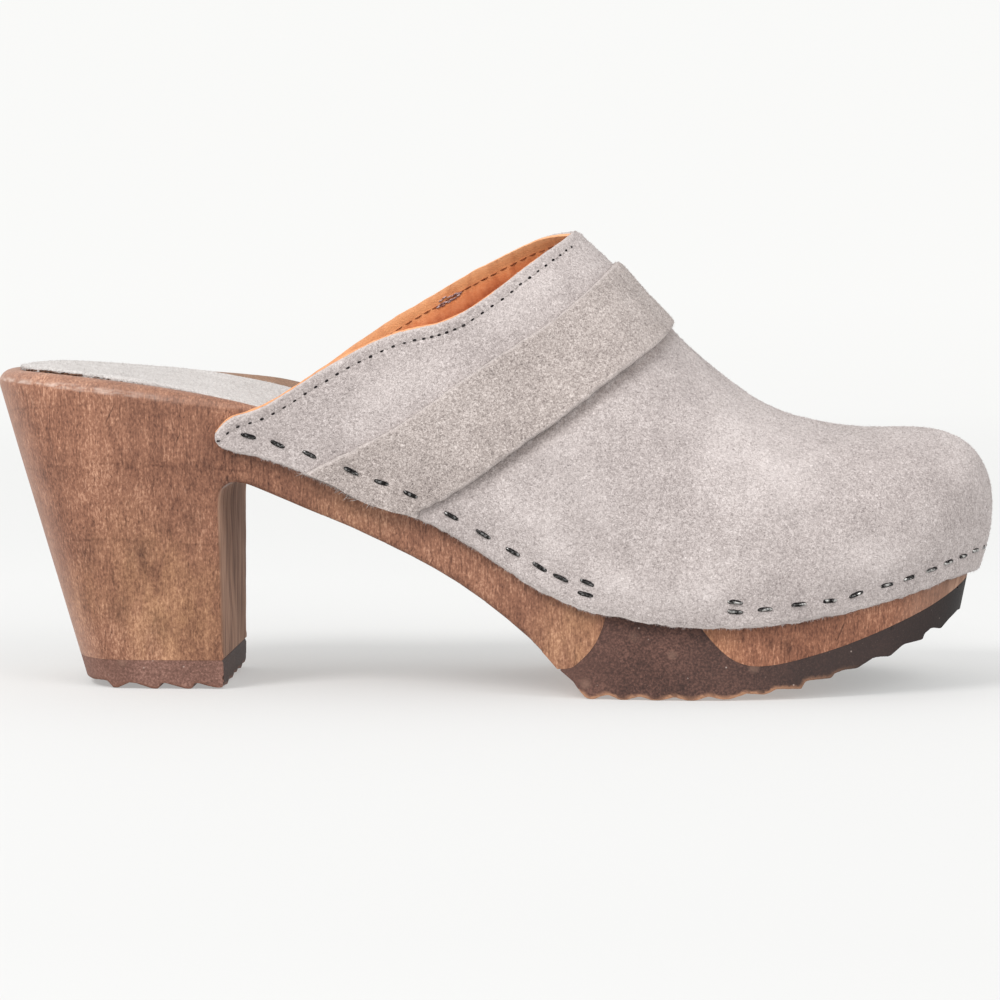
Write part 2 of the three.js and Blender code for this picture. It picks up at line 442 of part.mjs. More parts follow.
// The two sides share the top line in front of the throat and are open behind it, so the shell is stitched by
// hand: each side is a grid, and rim faces are laid only along the collar, the tail and the lower edge.
function upperGeometry() {
  const { xs, outer, inner, nT } = upperSolid();
  const points = [], faces = [], index = new Map();
  const add = (p) => {
    const key = p.map((v) => Math.round(v * 2e3)).join();
    if (!index.has(key)) index.set(key, points.push(p) - 1);
    return index.get(key);
  };
  const tip = xs.length - 1, cols = nT + 1, open = xs.findIndex((x) => x >= THROAT_X - 1e-6);
  const ridgeMid = (i, grid) => { // one point for both sides on the top line
    const a = grid[i][nT], b = grid[i][cols];
    return a.map((v, k) => (v + b[k]) / 2);
  };
  const id = (i, j, side, grid) => { // j counts up the rib
    if (i >= open && j === nT) return add(ridgeMid(i, grid));
    if (i === tip) side = -1; // both sides share the rib at the toe
    return add(side < 0 ? grid[i][j] : grid[i][cols + (nT - j)]);
  };
  const quad = (...q) => faces.push(...split(points, q));
  for (const side of [-1, 1])
    for (let i = 0; i < tip; i++) {
      for (let j = 0; j < nT; j++) {
        const o = [id(i, j, side, outer), id(i + 1, j, side, outer), id(i + 1, j + 1, side, outer), id(i, j + 1, side, outer)];
        const n = [id(i, j, side, inner), id(i, j + 1, side, inner), id(i + 1, j + 1, side, inner), id(i + 1, j, side, inner)];
        side < 0 ? quad(...o) : quad(...o.reverse());
        side < 0 ? quad(...n) : quad(...n.reverse());
      }
      const low = [id(i, 0, side, outer), id(i, 0, side, inner), id(i + 1, 0, side, inner), id(i + 1, 0, side, outer)];
      side < 0 ? quad(...low) : quad(...low.reverse());
      if (i < open) {
        const j = nT, high = [id(i, j, side, outer), id(i + 1, j, side, outer), id(i + 1, j, side, inner), id(i, j, side, inner)];
        side < 0 ? quad(...high) : quad(...high.reverse());
      }
    }
  for (const side of [-1, 1])
    for (let j = 0; j < nT; j++) {
      const q = [id(0, j, side, outer), id(0, j + 1, side, outer), id(0, j + 1, side, inner), id(0, j, side, inner)];
      side < 0 ? quad(...q) : quad(...q.reverse());
    }
  return geometryOf(points, faces);
}

// ---- the strap ----------------------------------------------------------------------------------------
// Height up the rib where the strap's outer face lies this far below the top line.
function strapT(x, side, drop) {
  const z = skin(x, side, 1, GAP + STRAP_T)[2] - drop;
  let lo = 0, hi = 1;
  for (let k = 0; k < 30; k++) {
    const m = (lo + hi) / 2;
    if (skin(x, side, m, GAP + STRAP_T)[2] < z) lo = m; else hi = m;
  }
  return (lo + hi) / 2;
}
const strapDrop = (edgeX, edgeZ, k) => Math.max(0, topZ(edgeX(k)) - edgeZ(k) - (topZ(edgeX(1)) - edgeZ(1)));
function strapGeometry() {
  const nV = 17, nW = 6, front = [], back = [];
  const rows = [];
  for (const side of [-1, 1])
    for (let j = side < 0 ? 0 : 1; j <= nV; j++) {
      const v = side < 0 ? j / nV : 1 - j / nV, k = Math.sin(v * Math.PI / 2), x0 = strapRearX(k), x1 = strapFrontX(k);
      const t0 = k <= 0 ? 0 : k > 0.999 ? 1 : strapT(x0, side, strapDrop(strapRearX, strapRearZ, k));
      const t1 = k <= 0 ? 0 : k > 0.999 ? 1 : strapT(x1, side, strapDrop(strapFrontX, strapFrontZ, k));
      rows.push({ side: k > 0.999 ? -1 : side, x0, x1, t0, t1, k });
    }
  for (let i = 0; i <= nW; i++) {
    const w = i / nW, f = [], b = [];
    for (const r of rows) {
      const x = mix(r.x0, r.x1, w), t = mix(r.t0, r.t1, w), lift = GAP + STRAP_STANDOFF * w ** 2.5 * smooth((r.k - 0.1) / 0.6);
      f.push(skin(x, r.side, t, lift + STRAP_T));
      b.push(skin(x, r.side, t, lift));
    }
    front.push(f);
    back.push(b);
  }
  return between(front, back);
}

// ---- the insole -----------------------------------------------------------------------------------------
function insoleGeometry() {
  const nX = 36, nY = 9, top = [], low = [], mid = (x) => TOE_Y * smooth((x - 120) / 90);
  for (let i = 0; i <= nX; i++) {
    const u = i / nX, x = INSOLE_X0 + (INSOLE_X1 - INSOLE_X0) * (0.5 - 0.5 * Math.cos(u * Math.PI));
    const c = cap((INSOLE_X0 + 24.5 - x) / 24.5, 2.15) * cap((x - 172) / (INSOLE_X1 - 172), 2.0);
    const k = Math.max(c, 0.05), a = mid(x) + (-inLat(x) - mid(x)) * k, b = mid(x) + (inMed(x) - mid(x)) * k;
    const rowT = [], rowL = [];
    for (let j = 0; j <= nY; j++) {
      const y = mix(a, b, 0.5 - 0.5 * Math.cos((j / nY) * Math.PI)), z = bedZ(x, y) + GAP;
      const dome = mix(INSOLE_EDGE, 1, (1 - Math.abs((2 * y - a - b) / (b - a)) ** 3) * smooth((x - INSOLE_X0) / 9));
      rowL.push([x, y, z]);
      rowT.push([x, y, z + inThick(x) * dome]);
    }
    top.push(rowT);
    low.push(rowL);
  }
  return between(top, low);
}

// ---- assembly -------------------------------------------------------------------------------------------
const suede = new THREE.MeshStandardMaterial({ color: 0xada29b, roughness: 0.95, metalness: 0 });
const suedeInsole = new THREE.MeshStandardMaterial({ color: 0xc9c5bf, roughness: 0.95, metalness: 0 });
const wood = new THREE.MeshStandardMaterial({ color: 0x8a5c45, roughness: 0.5, metalness: 0 });
const rubber = new THREE.MeshStandardMaterial({ color: 0x4c3630, roughness: 0.7, metalness: 0 });
const clog = new THREE.Group();
function piece(name, g, material) {
  const mesh = new THREE.Mesh(g, material);
  mesh.name = name;
  g.computeVertexNormals();
  clog.add(mesh);
}
piece("sole_wood_rear", geometry(rearWood), wood);
piece("sole_wood_front", geometry(frontWood), wood);
piece("outsole", geometry(outsole), rubber);
piece("heel_lift", geometry(heelLift), rubber);
piece("insole", insoleGeometry(), suedeInsole);
piece("upper", upperGeometry(), suede);
piece("strap", strapGeometry(), suede);

const box = new THREE.Box3().setFromObject(clog);
clog.position.set(-(box.min.x + box.max.x) / 2, -(box.min.y + box.max.y) / 2, -box.min.z);
clog.updateMatrixWorld(true);

export default clog;
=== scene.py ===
import math
import bpy
import numpy as np
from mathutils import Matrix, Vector
from mathutils.bvhtree import BVHTree


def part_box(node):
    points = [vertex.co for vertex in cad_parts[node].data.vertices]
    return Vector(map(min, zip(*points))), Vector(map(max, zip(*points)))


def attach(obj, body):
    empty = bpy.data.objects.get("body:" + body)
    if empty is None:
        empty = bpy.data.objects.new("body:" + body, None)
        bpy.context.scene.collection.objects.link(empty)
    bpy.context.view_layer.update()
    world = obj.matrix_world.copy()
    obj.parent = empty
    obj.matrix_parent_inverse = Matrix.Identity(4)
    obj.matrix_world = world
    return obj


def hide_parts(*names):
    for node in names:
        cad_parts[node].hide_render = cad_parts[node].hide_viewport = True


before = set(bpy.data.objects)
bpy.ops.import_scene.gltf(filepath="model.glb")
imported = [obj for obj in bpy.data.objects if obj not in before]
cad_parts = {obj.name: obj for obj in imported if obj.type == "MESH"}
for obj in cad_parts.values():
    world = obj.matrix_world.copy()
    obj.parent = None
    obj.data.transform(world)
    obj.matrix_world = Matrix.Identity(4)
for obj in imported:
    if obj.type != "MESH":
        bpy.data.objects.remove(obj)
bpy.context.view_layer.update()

# =====================================================================================================
# The clog's form, in millimetres: x from the back of the heel seat to the toe, y to the inner side, z up.
# =====================================================================================================
TOE_X, TOE_Y = 234.5, 5.0
HEEL_CAP_R = 30.0
GAP, WALL, STRAP_T = 0.3, 2.2, 1.6
BACK_LEAN, BACK_TOP = 0.3, 73.0
LIFT_H, BREAST_X = 7.0, 56.8
TAPER_Z, TAPER_LAT, TAPER_MED = 56.0, 0.145, 0.105
THROAT_X, TAIL_X = 139.8, 56.2
TOE_RAKE, RIDGE_SWELL, STRAP_STANDOFF = 0.2, 0.8, 0.8
INSOLE_X0, INSOLE_X1, INSOLE_EDGE = 5.6, 224.0, 0.52
RIM_R_HEEL, RIM_R_FRONT = 5.0, 1.0
OFF = GAP + WALL

# The group's origin is the centre of the underside of its bounding box. The front face of the heel lift is at
# BREAST_X, which gives the shift along x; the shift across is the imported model's own.
SHIFT = np.array([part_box("heel_lift")[1].x * 1000 - BREAST_X, -2.2517, 0.0])


def table(text):
    rows = [r.split() for r in text.strip().splitlines()]
    return {name: np.array([float(r[k]) for r in rows[1:]]) for k, name in enumerate(rows[0])}


SOLE_PLAN = table("""x lat med
0 29.6 29.6
30 30.5 30.5
50 30.5 30.5
70 30.1 29.8
90 30.6 28.4
110 33.0 29.2
130 36.3 33.4
145 38.7 38.2
160 40.3 42.4
175 40.6 44.6
190 40.6 45.2
236 40.6 45.2""")
FOOTBED = table("""x edge raise dish
0 76.7 0 2.2
12 76.5 0 2.4
25 75.4 0.3 2.8
37 74.1 1.2 3.3
48 72.6 2.3 3.9
59 70.3 3.4 4.2
70 67.0 4.4 4.0
80 62.9 4.7 3.4
90 58.6 4.5 2.8
105 51.9 4.0 2.1
120 44.6 2.8 1.6
135 37.6 1.4 1.6
150 31.8 0.4 1.6
165 28.2 0 1.6
180 27.0 0 1.6
195 27.6 0 1.5
210 29.8 0 1.3
225 33.2 0 1.1
236 36.2 0 1.0""")
SHANK = table("""x z
56.9 7
56.8 20
56.7 34
56.7 45.5
57.3 48.2
58.9 49.6
61.1 49.9
63.3 49.4
71 46.3
79.1 42.9
86.8 39.9
99.6 34.1
106.4 30.7
113.2 26.8
120 22.2
126.8 16.9
131.6 12.7
136.8 7.0""")
GAP_REAR = table("""x z
136.8 7.0
139.9 7.3
142.6 9.4
145.3 12.5
147.1 16.1
148.2 20
148.7 25
148.9 40""")
GAP_FRONT = table("""x z
166.6 40
166.8 26
167.6 22.4
168.9 19.5
170.8 16.7
172.8 14.2
175.2 11.7
177.8 9.7
180.7 8.5
183.9 8.1
188.5 8.5
195.4 10
202.4 11.9
209.4 14.2
216.6 16.9
223.8 19.9
230.3 23.3
236.5 27.2""")
HEEL_TREAD = table("""x z
14 1.9
24.6 1.5
27.4 1.75
28.7 1.6
29.4 0.8
30.1 0.1
31.2 0.1
34.2 1.5
35.8 1.3
39.3 0.15
39.9 0
41.1 0
41.8 1.4
42.8 1.4
47.3 0.15
47.9 0
49.1 0
49.7 1.4
50.8 1.4
55 0.15
55.5 0""")
FORE_TREAD = table("""x z
142.2 1.7
143.2 0.6
144 0
145.4 0
147 0.7
148.7 1.1
150.2 0.6
151.4 0
153.1 0
154.7 0.5
156.3 0.85
157.7 0.45
159.1 0
160.9 0
162.7 0.4
164.3 0.8
165.9 0.35
167.2 0
169.2 0
170.8 0.6
172.3 1
174 0.6
175.4 0.3
177.1 0.4
179.2 1
181 1.65
184.9 1.35
186.1 1.6
188 2.6
193.8 2.45
194.7 4.1
195.8 4.4
200.8 4.7
201.7 5.8
204 6.5
207 6.7
210.6 8.8
212.1 9.1
214.6 8.9
217.7 11.35
218.5 11.7
222.8 12.3
223.3 13.7
225.1 14.9
227.4 14.3
229.5 16.3
231.8 17.9
234.1 17.6
240 17.5""")
LOWER_EDGE = table("""x z
56 59.3
58 58.2
62.9 56.9
67.4 55.7
74 53.5
82 50.4
93 45.6
103 42.5
113.4 37.4
123.4 31.3
133 25.4
142.7 21.5
150 19.8
160 18.2
170 17.3
180 17.3
190 18.1
202 20.0
216 23.1
225 25.6
231 27.0
234.5 27.2""")
TOP_LINE = table("""x z
50 206
80 172
110 139.5
130 118.6
139.8 109.0
149.6 99.9
163 84.9
172.7 75.9
180.7 69.8
188.7 65.6
196.7 63.1
204.7 61.6
212.6 61.2
222 61.7
232 61.8
244 61.2""")
RIBS = table("""x ridge side full bulge
56 56 0.5 1.95 0.1
90 90 0.8 1.95 0.3
120 120 1.4 2.0 0.7
140 140 2 2.05 1.1
160 159 2.6 2.1 1.5
180 175 3.3 2.2 1.9
200 188 4.1 2.5 2.3
215 196 4.6 3.1 2.7
225 200.5 4.8 3.9 3.0
231 203 4.95 4.6 3.2
234.5 204.5 5 5.2 3.3""")
COLLAR = table("""x lat med
56 61.4 61.4
57.7 63.6 63.8
62.6 66.2 66.6
69.2 68.9 69.8
74.8 72.4 73.6
80.9 76.3 78.0
90.9 81.8 84.8
98 84.8 89.2
104.5 86.5 93.0
111 88.3 96.8
117.6 91.9 100.4
126.2 98.3 104.8
132.7 103.4 107.6
137 106.6 108.6
139.8 109.0 109.0""")
STRAP = table("""along rearX rearZ frontX frontZ
0 77.2 52.2 101.8 42.9
0.1 84.5 56.0 108.0 46.0
0.2 92.0 59.6 114.0 49.3
0.3 99.5 63.7 120.3 53.7
0.4 107.0 68.8 126.8 58.5
0.5 114.5 74.3 133.5 63.2
0.6 122.0 79.5 140.5 68.2
0.7 129.3 84.4 147.0 73.5
0.8 136.4 89.4 153.3 78.3
0.9 142.9 95.3 159.7 82.6
1 149.0 101.9 163.8 86.2""")
INSOLE = table("""x lat med thick
5 24.4 24.6 2.6
30 24.0 24.4 2.6
50 22.0 22.4 2.5
70 20.6 20.0 2.3
90 20.2 18.4 2.0
110 22.0 19.4 2.0
130 26.0 24.0 2.0
150 29.6 30.8 2.0
170 31.8 35.2 2.0
225 31.8 35.6 2.0""")


def spline(t, column, key="x"):
    """Natural cubic spline through a column, held at its ends."""
    X, Y = t[key], t[column]
    n = len(X)
    h = np.diff(X)
    A, r = np.eye(n), np.zeros(n)
    for i in range(1, n - 1):
        A[i, i - 1], A[i, i], A[i, i + 1] = h[i - 1], 2 * (h[i - 1] + h[i]), h[i]
        r[i] = 6 * ((Y[i + 1] - Y[i]) / h[i] - (Y[i] - Y[i - 1]) / h[i - 1])
    m = np.linalg.solve(A, r)

    def at(x):
        q = np.clip(x, X[0], X[-1])
        i = np.clip(np.searchsorted(X, q, side="right") - 1, 0, n - 2)
        hh = h[i]
        a, b = (X[i + 1] - q) / hh, (q - X[i]) / hh
        return a * Y[i] + b * Y[i + 1] + ((a ** 3 - a) * m[i] + (b ** 3 - b) * m[i + 1]) * hh * hh / 6

    return at


def smooth(v):
    q = np.clip(v, 0, 1)
    return q * q * (3 - 2 * q)


def mix(a, b, k):
    return a + (b - a) * k


width_lat, width_med = spline(SOLE_PLAN, "lat"), spline(SOLE_PLAN, "med")
bed_edge, bed_raise, bed_dish = (spline(FOOTBED, c) for c in ("edge", "raise", "dish"))
lower_z, top_z = spline(LOWER_EDGE, "z"), spline(TOP_LINE, "z")
rib_ridge, rib_side, rib_full, rib_bulge = (spline(RIBS, c) for c in ("ridge", "side", "full", "bulge"))
collar_lat, collar_med = spline(COLLAR, "lat"), spline(COLLAR, "med")
strap_c = {c: spline(STRAP, c, "along") for c in ("rearX", "rearZ", "frontX", "frontZ")}
in_lat, in_med, in_thick = (spline(INSOLE, c) for c in ("lat", "med", "thick"))


def cap(u, p):
    q = np.clip(u, 0, 1)
    return (1 - q ** p) ** (1 / p)


def heel_back(z):
    return np.maximum(0, BACK_TOP - z) * BACK_LEAN


def toe_tip(z):
    return TOE_X - np.maximum(0, 26 - z) * TOE_RAKE


def mid_y(x):
    return TOE_Y * smooth((x - 120) / 90)


def outline_parts(x, side, z):
    """Half width on that side without the rounded ends, and how far x is into each rounded end."""
    back, k = heel_back(z), np.clip(z / BACK_TOP, 0, 1)
    R, hp = mix(14, HEEL_CAP_R, k), mix(2.4, 2.12, k)
    lat = side < 0
    toe_from, tp = np.where(lat, 170, 178), np.where(lat, 1.88, 2.08)
    taper = np.maximum(0, TAPER_Z - z) * np.where(lat, TAPER_LAT, TAPER_MED) * (1 - smooth((x - 58) / 40))
    draft = np.maximum(0, 24 - z) * 0.045 * smooth((x - 100) / 40)
    w = np.where(lat, width_lat(x), width_med(x)) - taper - draft
    return w, (back + R - x) / R, hp, (x - toe_from) / (toe_tip(z) - toe_from), tp


def outline_y(x, side, z=80.0):
    w, uh, hp, ut, tp = outline_parts(x, side, z)
    m = mid_y(x)
    return m + (side * w - m) * cap(ut, tp) * cap(uh, hp)


def bed_z(x, y):
    q = np.clip(x, 0.4, TOE_X - 0.3)
    a, b = outline_y(q, -1), outline_y(q, 1)
    s = np.clip((y - a) / np.maximum(b - a, 1e-6), 0, 1)
    heel = 1 - np.clip((20 - q) / 20, 0, 1) ** 2.5
    toe = 1 - np.clip((q - (TOE_X - 22)) / 22, 0, 1) ** 2.5
    return bed_edge(q) + bed_raise(q) * smooth(s) - bed_dish(q) * (1 - np.abs(2 * s - 1) ** 2.6) * heel * toe


# ---- the upper's skin ---------------------------------------------------------------------------------
def edge_point(x, side):
    e = 0.02
    q = np.minimum(x, TOE_X - 1e-4)
    y = outline_y(q, side)
    hi = np.minimum(q + e, TOE_X)
    d = (outline_y(hi, side) - outline_y(q - e, side)) / (2 * e)
    l = np.hypot(1, d)
    tip = x >= TOE_X - 1e-3
    return q, y, np.where(tip, 1, -side * d / l), np.where(tip, 0, side / l)


def skin(x, side, t):
    x, side, t = np.broadcast_arrays(np.asarray(x, float), np.asarray(side, float), np.asarray(t, float))
    ex, ey, nx, ny = edge_point(x, side)
    n = rib_full(x)
    up = np.clip(t, 0, 1) * np.pi / 2
    c, s = np.maximum(np.cos(up), 0), np.sin(up)
    r = (c ** n + s ** n) ** (-1 / n)
    a, b = 1 - r * c, np.minimum(r * s, 1)
    swell = rib_bulge(x) * np.maximum(np.sin(np.pi * b), 0) ** RIDGE_SWELL + OFF * (1 - a)
    px, py = mix(ex, rib_ridge(x), a) + nx * swell, mix(ey, rib_side(x), a) + ny * swell
    z0 = lower_z(x)
    return np.stack([px, py, z0 + (top_z(px) - z0) * b], -1)


def skin_normal(x, side, t):
    x, side, t = np.broadcast_arrays(np.asarray(x, float), np.asarray(side, float), np.asarray(t, float))
    h, hx = 0.004, 0.05
    tt, xx = np.clip(t, 0.001, 0.992), np.minimum(x, TOE_X - 0.06)
    a = skin(xx + hx, side, tt) - skin(xx - hx, side, tt)
    b = skin(xx, side, np.minimum(1, tt + h)) - skin(xx, side, np.maximum(0, tt - h))
    n = np.cross(a, b) * np.where(side < 0, 1, -1)[..., None]
    return n / np.linalg.norm(n, axis=-1, keepdims=True)


def bisect(fun, n=34):
    lo = hi = None
    for k in range(n):
        if lo is None:
            m = 0.5
            f = fun(0.5)
            lo, hi = np.where(f, 0.5, 0.0), np.where(f, 1.0, 0.5)
        else:
            m = (lo + hi) / 2
            f = fun(m)
            lo, hi = np.where(f, m, lo), np.where(f, hi, m)
    return (lo + hi) / 2


def collar_t(x, side):
    z = np.where(side < 0, collar_lat(x), collar_med(x))
    return np.where(x >= THROAT_X, 1.0, bisect(lambda m: skin(x, side, m)[..., 2] < z))


# =====================================================================================================
# Small tools
# =====================================================================================================
def noise2(u, v, seed, octaves=3):
    """Smooth value noise, about -1 to 1."""
    out, amp = np.zeros(np.broadcast(u, v).shape), 1.0
    for o in range(octaves):
        g = np.random.default_rng(seed * 31 + o).uniform(-1, 1, (64, 64))
        a, b = np.asarray(u) * 2 ** o, np.asarray(v) * 2 ** o
        i, j = np.floor(a).astype(int), np.floor(b).astype(int)
        fa, fb = smooth(a - i), smooth(b - j)
        i, j, i1, j1 = i % 64, j % 64, (i + 1) % 64, (j + 1) % 64
        out += amp * mix(mix(g[i, j], g[i1, j], fa), mix(g[i, j1], g[i1, j1], fa), fb)
        amp *= 0.5
    return out


def noise3(p, seed):
    return (noise2(p[..., 0], p[..., 1], seed) + noise2(p[..., 1] + 7.3, p[..., 2], seed + 1) + noise2(p[..., 2] + 3.1, p[..., 0] + 9.7, seed + 2)) / 2.2


def make_object(name, verts, faces, material, smooth_shade=True, sharp=None, attributes=None):
    """verts in design millimetres; faces a list of index arrays (n, 3) or (n, 4)."""
    v = (np.asarray(verts, float) + SHIFT) / 1000
    faces = [np.asarray(f, np.int32) for f in faces if len(f)]
    loops = np.concatenate([f.ravel() for f in faces])
    sizes = np.concatenate([np.full(len(f), f.shape[1], np.int32) for f in faces])
    me = bpy.data.meshes.new(name)
    me.vertices.add(len(v))
    me.vertices.foreach_set("co", v.astype(np.float32).ravel())
    me.loops.add(len(loops))
    me.loops.foreach_set("vertex_index", loops)
    me.polygons.add(len(sizes))
    me.polygons.foreach_set("loop_start", np.concatenate([[0], np.cumsum(sizes)[:-1]]).astype(np.int32))
    me.polygons.foreach_set("loop_total", sizes)
    me.update(calc_edges=True)
    me.validate()
    me.polygons.foreach_set("use_smooth", np.full(len(me.polygons), smooth_shade))
    if sharp is not None:
        me.set_sharp_from_angle(angle=math.radians(sharp))
    for key, values in (attributes or {}).items():
        a = me.attributes.new(key, "FLOAT", "POINT")
        a.data.foreach_set("value", np.asarray(values, np.float32))
    me.materials.append(material)
    o = bpy.data.objects.new(name, me)
    bpy.context.scene.collection.objects.link(o)
    return o


# ---- implicit solids ------------------------------------------------------------------------------------
def outline_f(x, y, z):
    """0 on the sole's outline, negative inside, roughly a distance in millimetres after scaling."""
    m = mid_y(x)
    side = np.where(y < m, -1, 1)
    w, uh, hp, ut, tp = outline_parts(x, side, z)
    yr = np.abs(y - m) / np.abs(side * w - m)
    u, p = np.where(x < 100, uh, ut), np.where(x < 100, hp, tp)
    u = np.maximum(u, 0)
    return (u ** p + yr ** p) ** (1 / p) - 1


def outline_d(x, y, z):
    e = 0.1
    f = outline_f(x, y, z)
    gx, gy, gz = outline_f(x + e, y, z) - f, outline_f(x, y + e, z) - f, outline_f(x, y, z + e) - f
    return f * e / np.maximum(np.sqrt(gx * gx + gy * gy + gz * gz), 1e-4)


def bed_d(x, y, z):
    e = 0.1
    b = bed_z(x, y)
    gx, gy = (bed_z(x + e, y) - b) / e, (bed_z(x, y + e) - b) / e
    return (z - b) / np.sqrt(1 + np.clip(gx * gx + gy * gy, 0, 2))


def round_and(a, b, r):
    return np.minimum(np.maximum(a, b), -r) + np.sqrt(np.maximum(r + a, 0) ** 2 + np.maximum(r + b, 0) ** 2)


def poly_sdf(px, pz, poly, chunk=60000):
    """Signed distance to a closed polygon in side view, negative inside."""
    shape = px.shape
    px, pz = px.ravel(), pz.ravel()
    out = np.empty(len(px))
    A, B = poly, np.roll(poly, -1, 0)
    d = B - A
    l2 = np.maximum((d * d).sum(1), 1e-12)
    for s in range(0, len(px), chunk):
        x, z = px[s:s + chunk, None], pz[s:s + chunk, None]
        t = np.clip(((x - A[:, 0]) * d[:, 0] + (z - A[:, 1]) * d[:, 1]) / l2, 0, 1)
        q = (x - A[:, 0] - t * d[:, 0]) ** 2 + (z - A[:, 1] - t * d[:, 1]) ** 2
        cross = ((A[:, 1] > z) != (B[:, 1] > z)) & (x < A[:, 0] + d[:, 0] * (z - A[:, 1]) / np.where(np.abs(d[:, 1]) < 1e-12, 1e-12, d[:, 1]))
        out[s:s + chunk] = np.sqrt(q.min(1)) * np.where(cross.sum(1) % 2 == 1, -1, 1)
    return out.reshape(shape)


def flowing(t, per=6):
    """A smooth line through a table's x, z points (centripetal Catmull-Rom)."""
    P = np.stack([t["x"], t["z"]], 1)
    P = np.vstack([2 * P[0] - P[1], P, 2 * P[-1] - P[-2]])
    out = []
    for i in range(1, len(P) - 2):
        p0, p1, p2, p3 = P[i - 1:i + 3]
        k = [0.0]
        for a, b in ((p0, p1), (p1, p2), (p2, p3)):
            k.append(k[-1] + np.sqrt(np.linalg.norm(b - a)))
        for u in np.linspace(k[1], k[2], per, endpoint=False):
            a1 = mix(p0, p1, (u - k[0]) / (k[1] - k[0])); a2 = mix(p1, p2, (u - k[1]) / (k[2] - k[1])); a3 = mix(p2, p3, (u - k[2]) / (k[3] - k[2]))
            b1 = mix(a1, a2, (u - k[0]) / (k[2] - k[0])); b2 = mix(a2, a3, (u - k[1]) / (k[3] - k[1]))
            out.append(mix(b1, b2, (u - k[1]) / (k[2] - k[1])))
    out.append(P[-2])
    return np.array(out)


def shifted(P, d):
    a, b = np.vstack([P[:1], P[:-1]]), np.vstack([P[1:], P[-1:]])
    t = b - a
    t /= np.linalg.norm(t, axis=1, keepdims=True)
    return P + d * np.stack([-t[:, 1], t[:, 0]], 1)


CORNERS = np.array([[i, j, k] for i in (0, 1) for j in (0, 1) for k in (0, 1)])
CELL_EDGES = [(a, b) for a in range(8) for b in range(a + 1, 8) if np.abs(CORNERS[a] - CORNERS[b]).sum() == 1]


def surface_net(f, origin, h):
    s = f < 0
    n8 = sum(s[i:s.shape[0] - 1 + i, j:s.shape[1] - 1 + j, k:s.shape[2] - 1 + k].astype(np.int8) for i, j, k in CORNERS)
    act = (n8 > 0) & (n8 < 8)
    idx = np.full(act.shape, -1, np.int64)
    ijk = np.argwhere(act)
    idx[act] = np.arange(len(ijk))
    F = np.stack([f[ijk[:, 0] + c[0], ijk[:, 1] + c[1], ijk[:, 2] + c[2]] for c in CORNERS], 1)
    acc, cnt = np.zeros((len(ijk), 3)), np.zeros(len(ijk))
    for a, b in CELL_EDGES:
        fa, fb = F[:, a], F[:, b]
        m = (fa < 0) != (fb < 0)
        t = fa[m] / (fa[m] - fb[m])
        acc[m] += CORNERS[a] + t[:, None] * (CORNERS[b] - CORNERS[a])
        cnt[m] += 1
    v = origin + h * (ijk + acc / cnt[:, None])
    quads = []
    for ax in range(3):
        u, w = (ax + 1) % 3, (ax + 2) % 3
        lo = [slice(None)] * 3
        hi = [slice(None)] * 3
        lo[ax], hi[ax] = slice(0, -1), slice(1, None)
        change = s[tuple(lo)] != s[tuple(hi)]
        e = np.argwhere(change)
        inside = s[tuple(lo)][change]
        e, inside = e[(e[:, u] > 0) & (e[:, w] > 0) & (e[:, u] < f.shape[u] - 1) & (e[:, w] < f.shape[w] - 1)], inside[(e[:, u] > 0) & (e[:, w] > 0) & (e[:, u] < f.shape[u] - 1) & (e[:, w] < f.shape[w] - 1)]
        q = []
        for du, dw in ((-1, -1), (0, -1), (0, 0), (-1, 0)):
            c = e.copy()
            c[:, u] += du
            c[:, w] += dw
            q.append(idx[c[:, 0], c[:, 1], c[:, 2]])
        q = np.stack(q, 1)
        q[~inside] = q[~inside][:, ::-1]
        quads.append(q)
    return v, ijk, np.concatenate(quads)


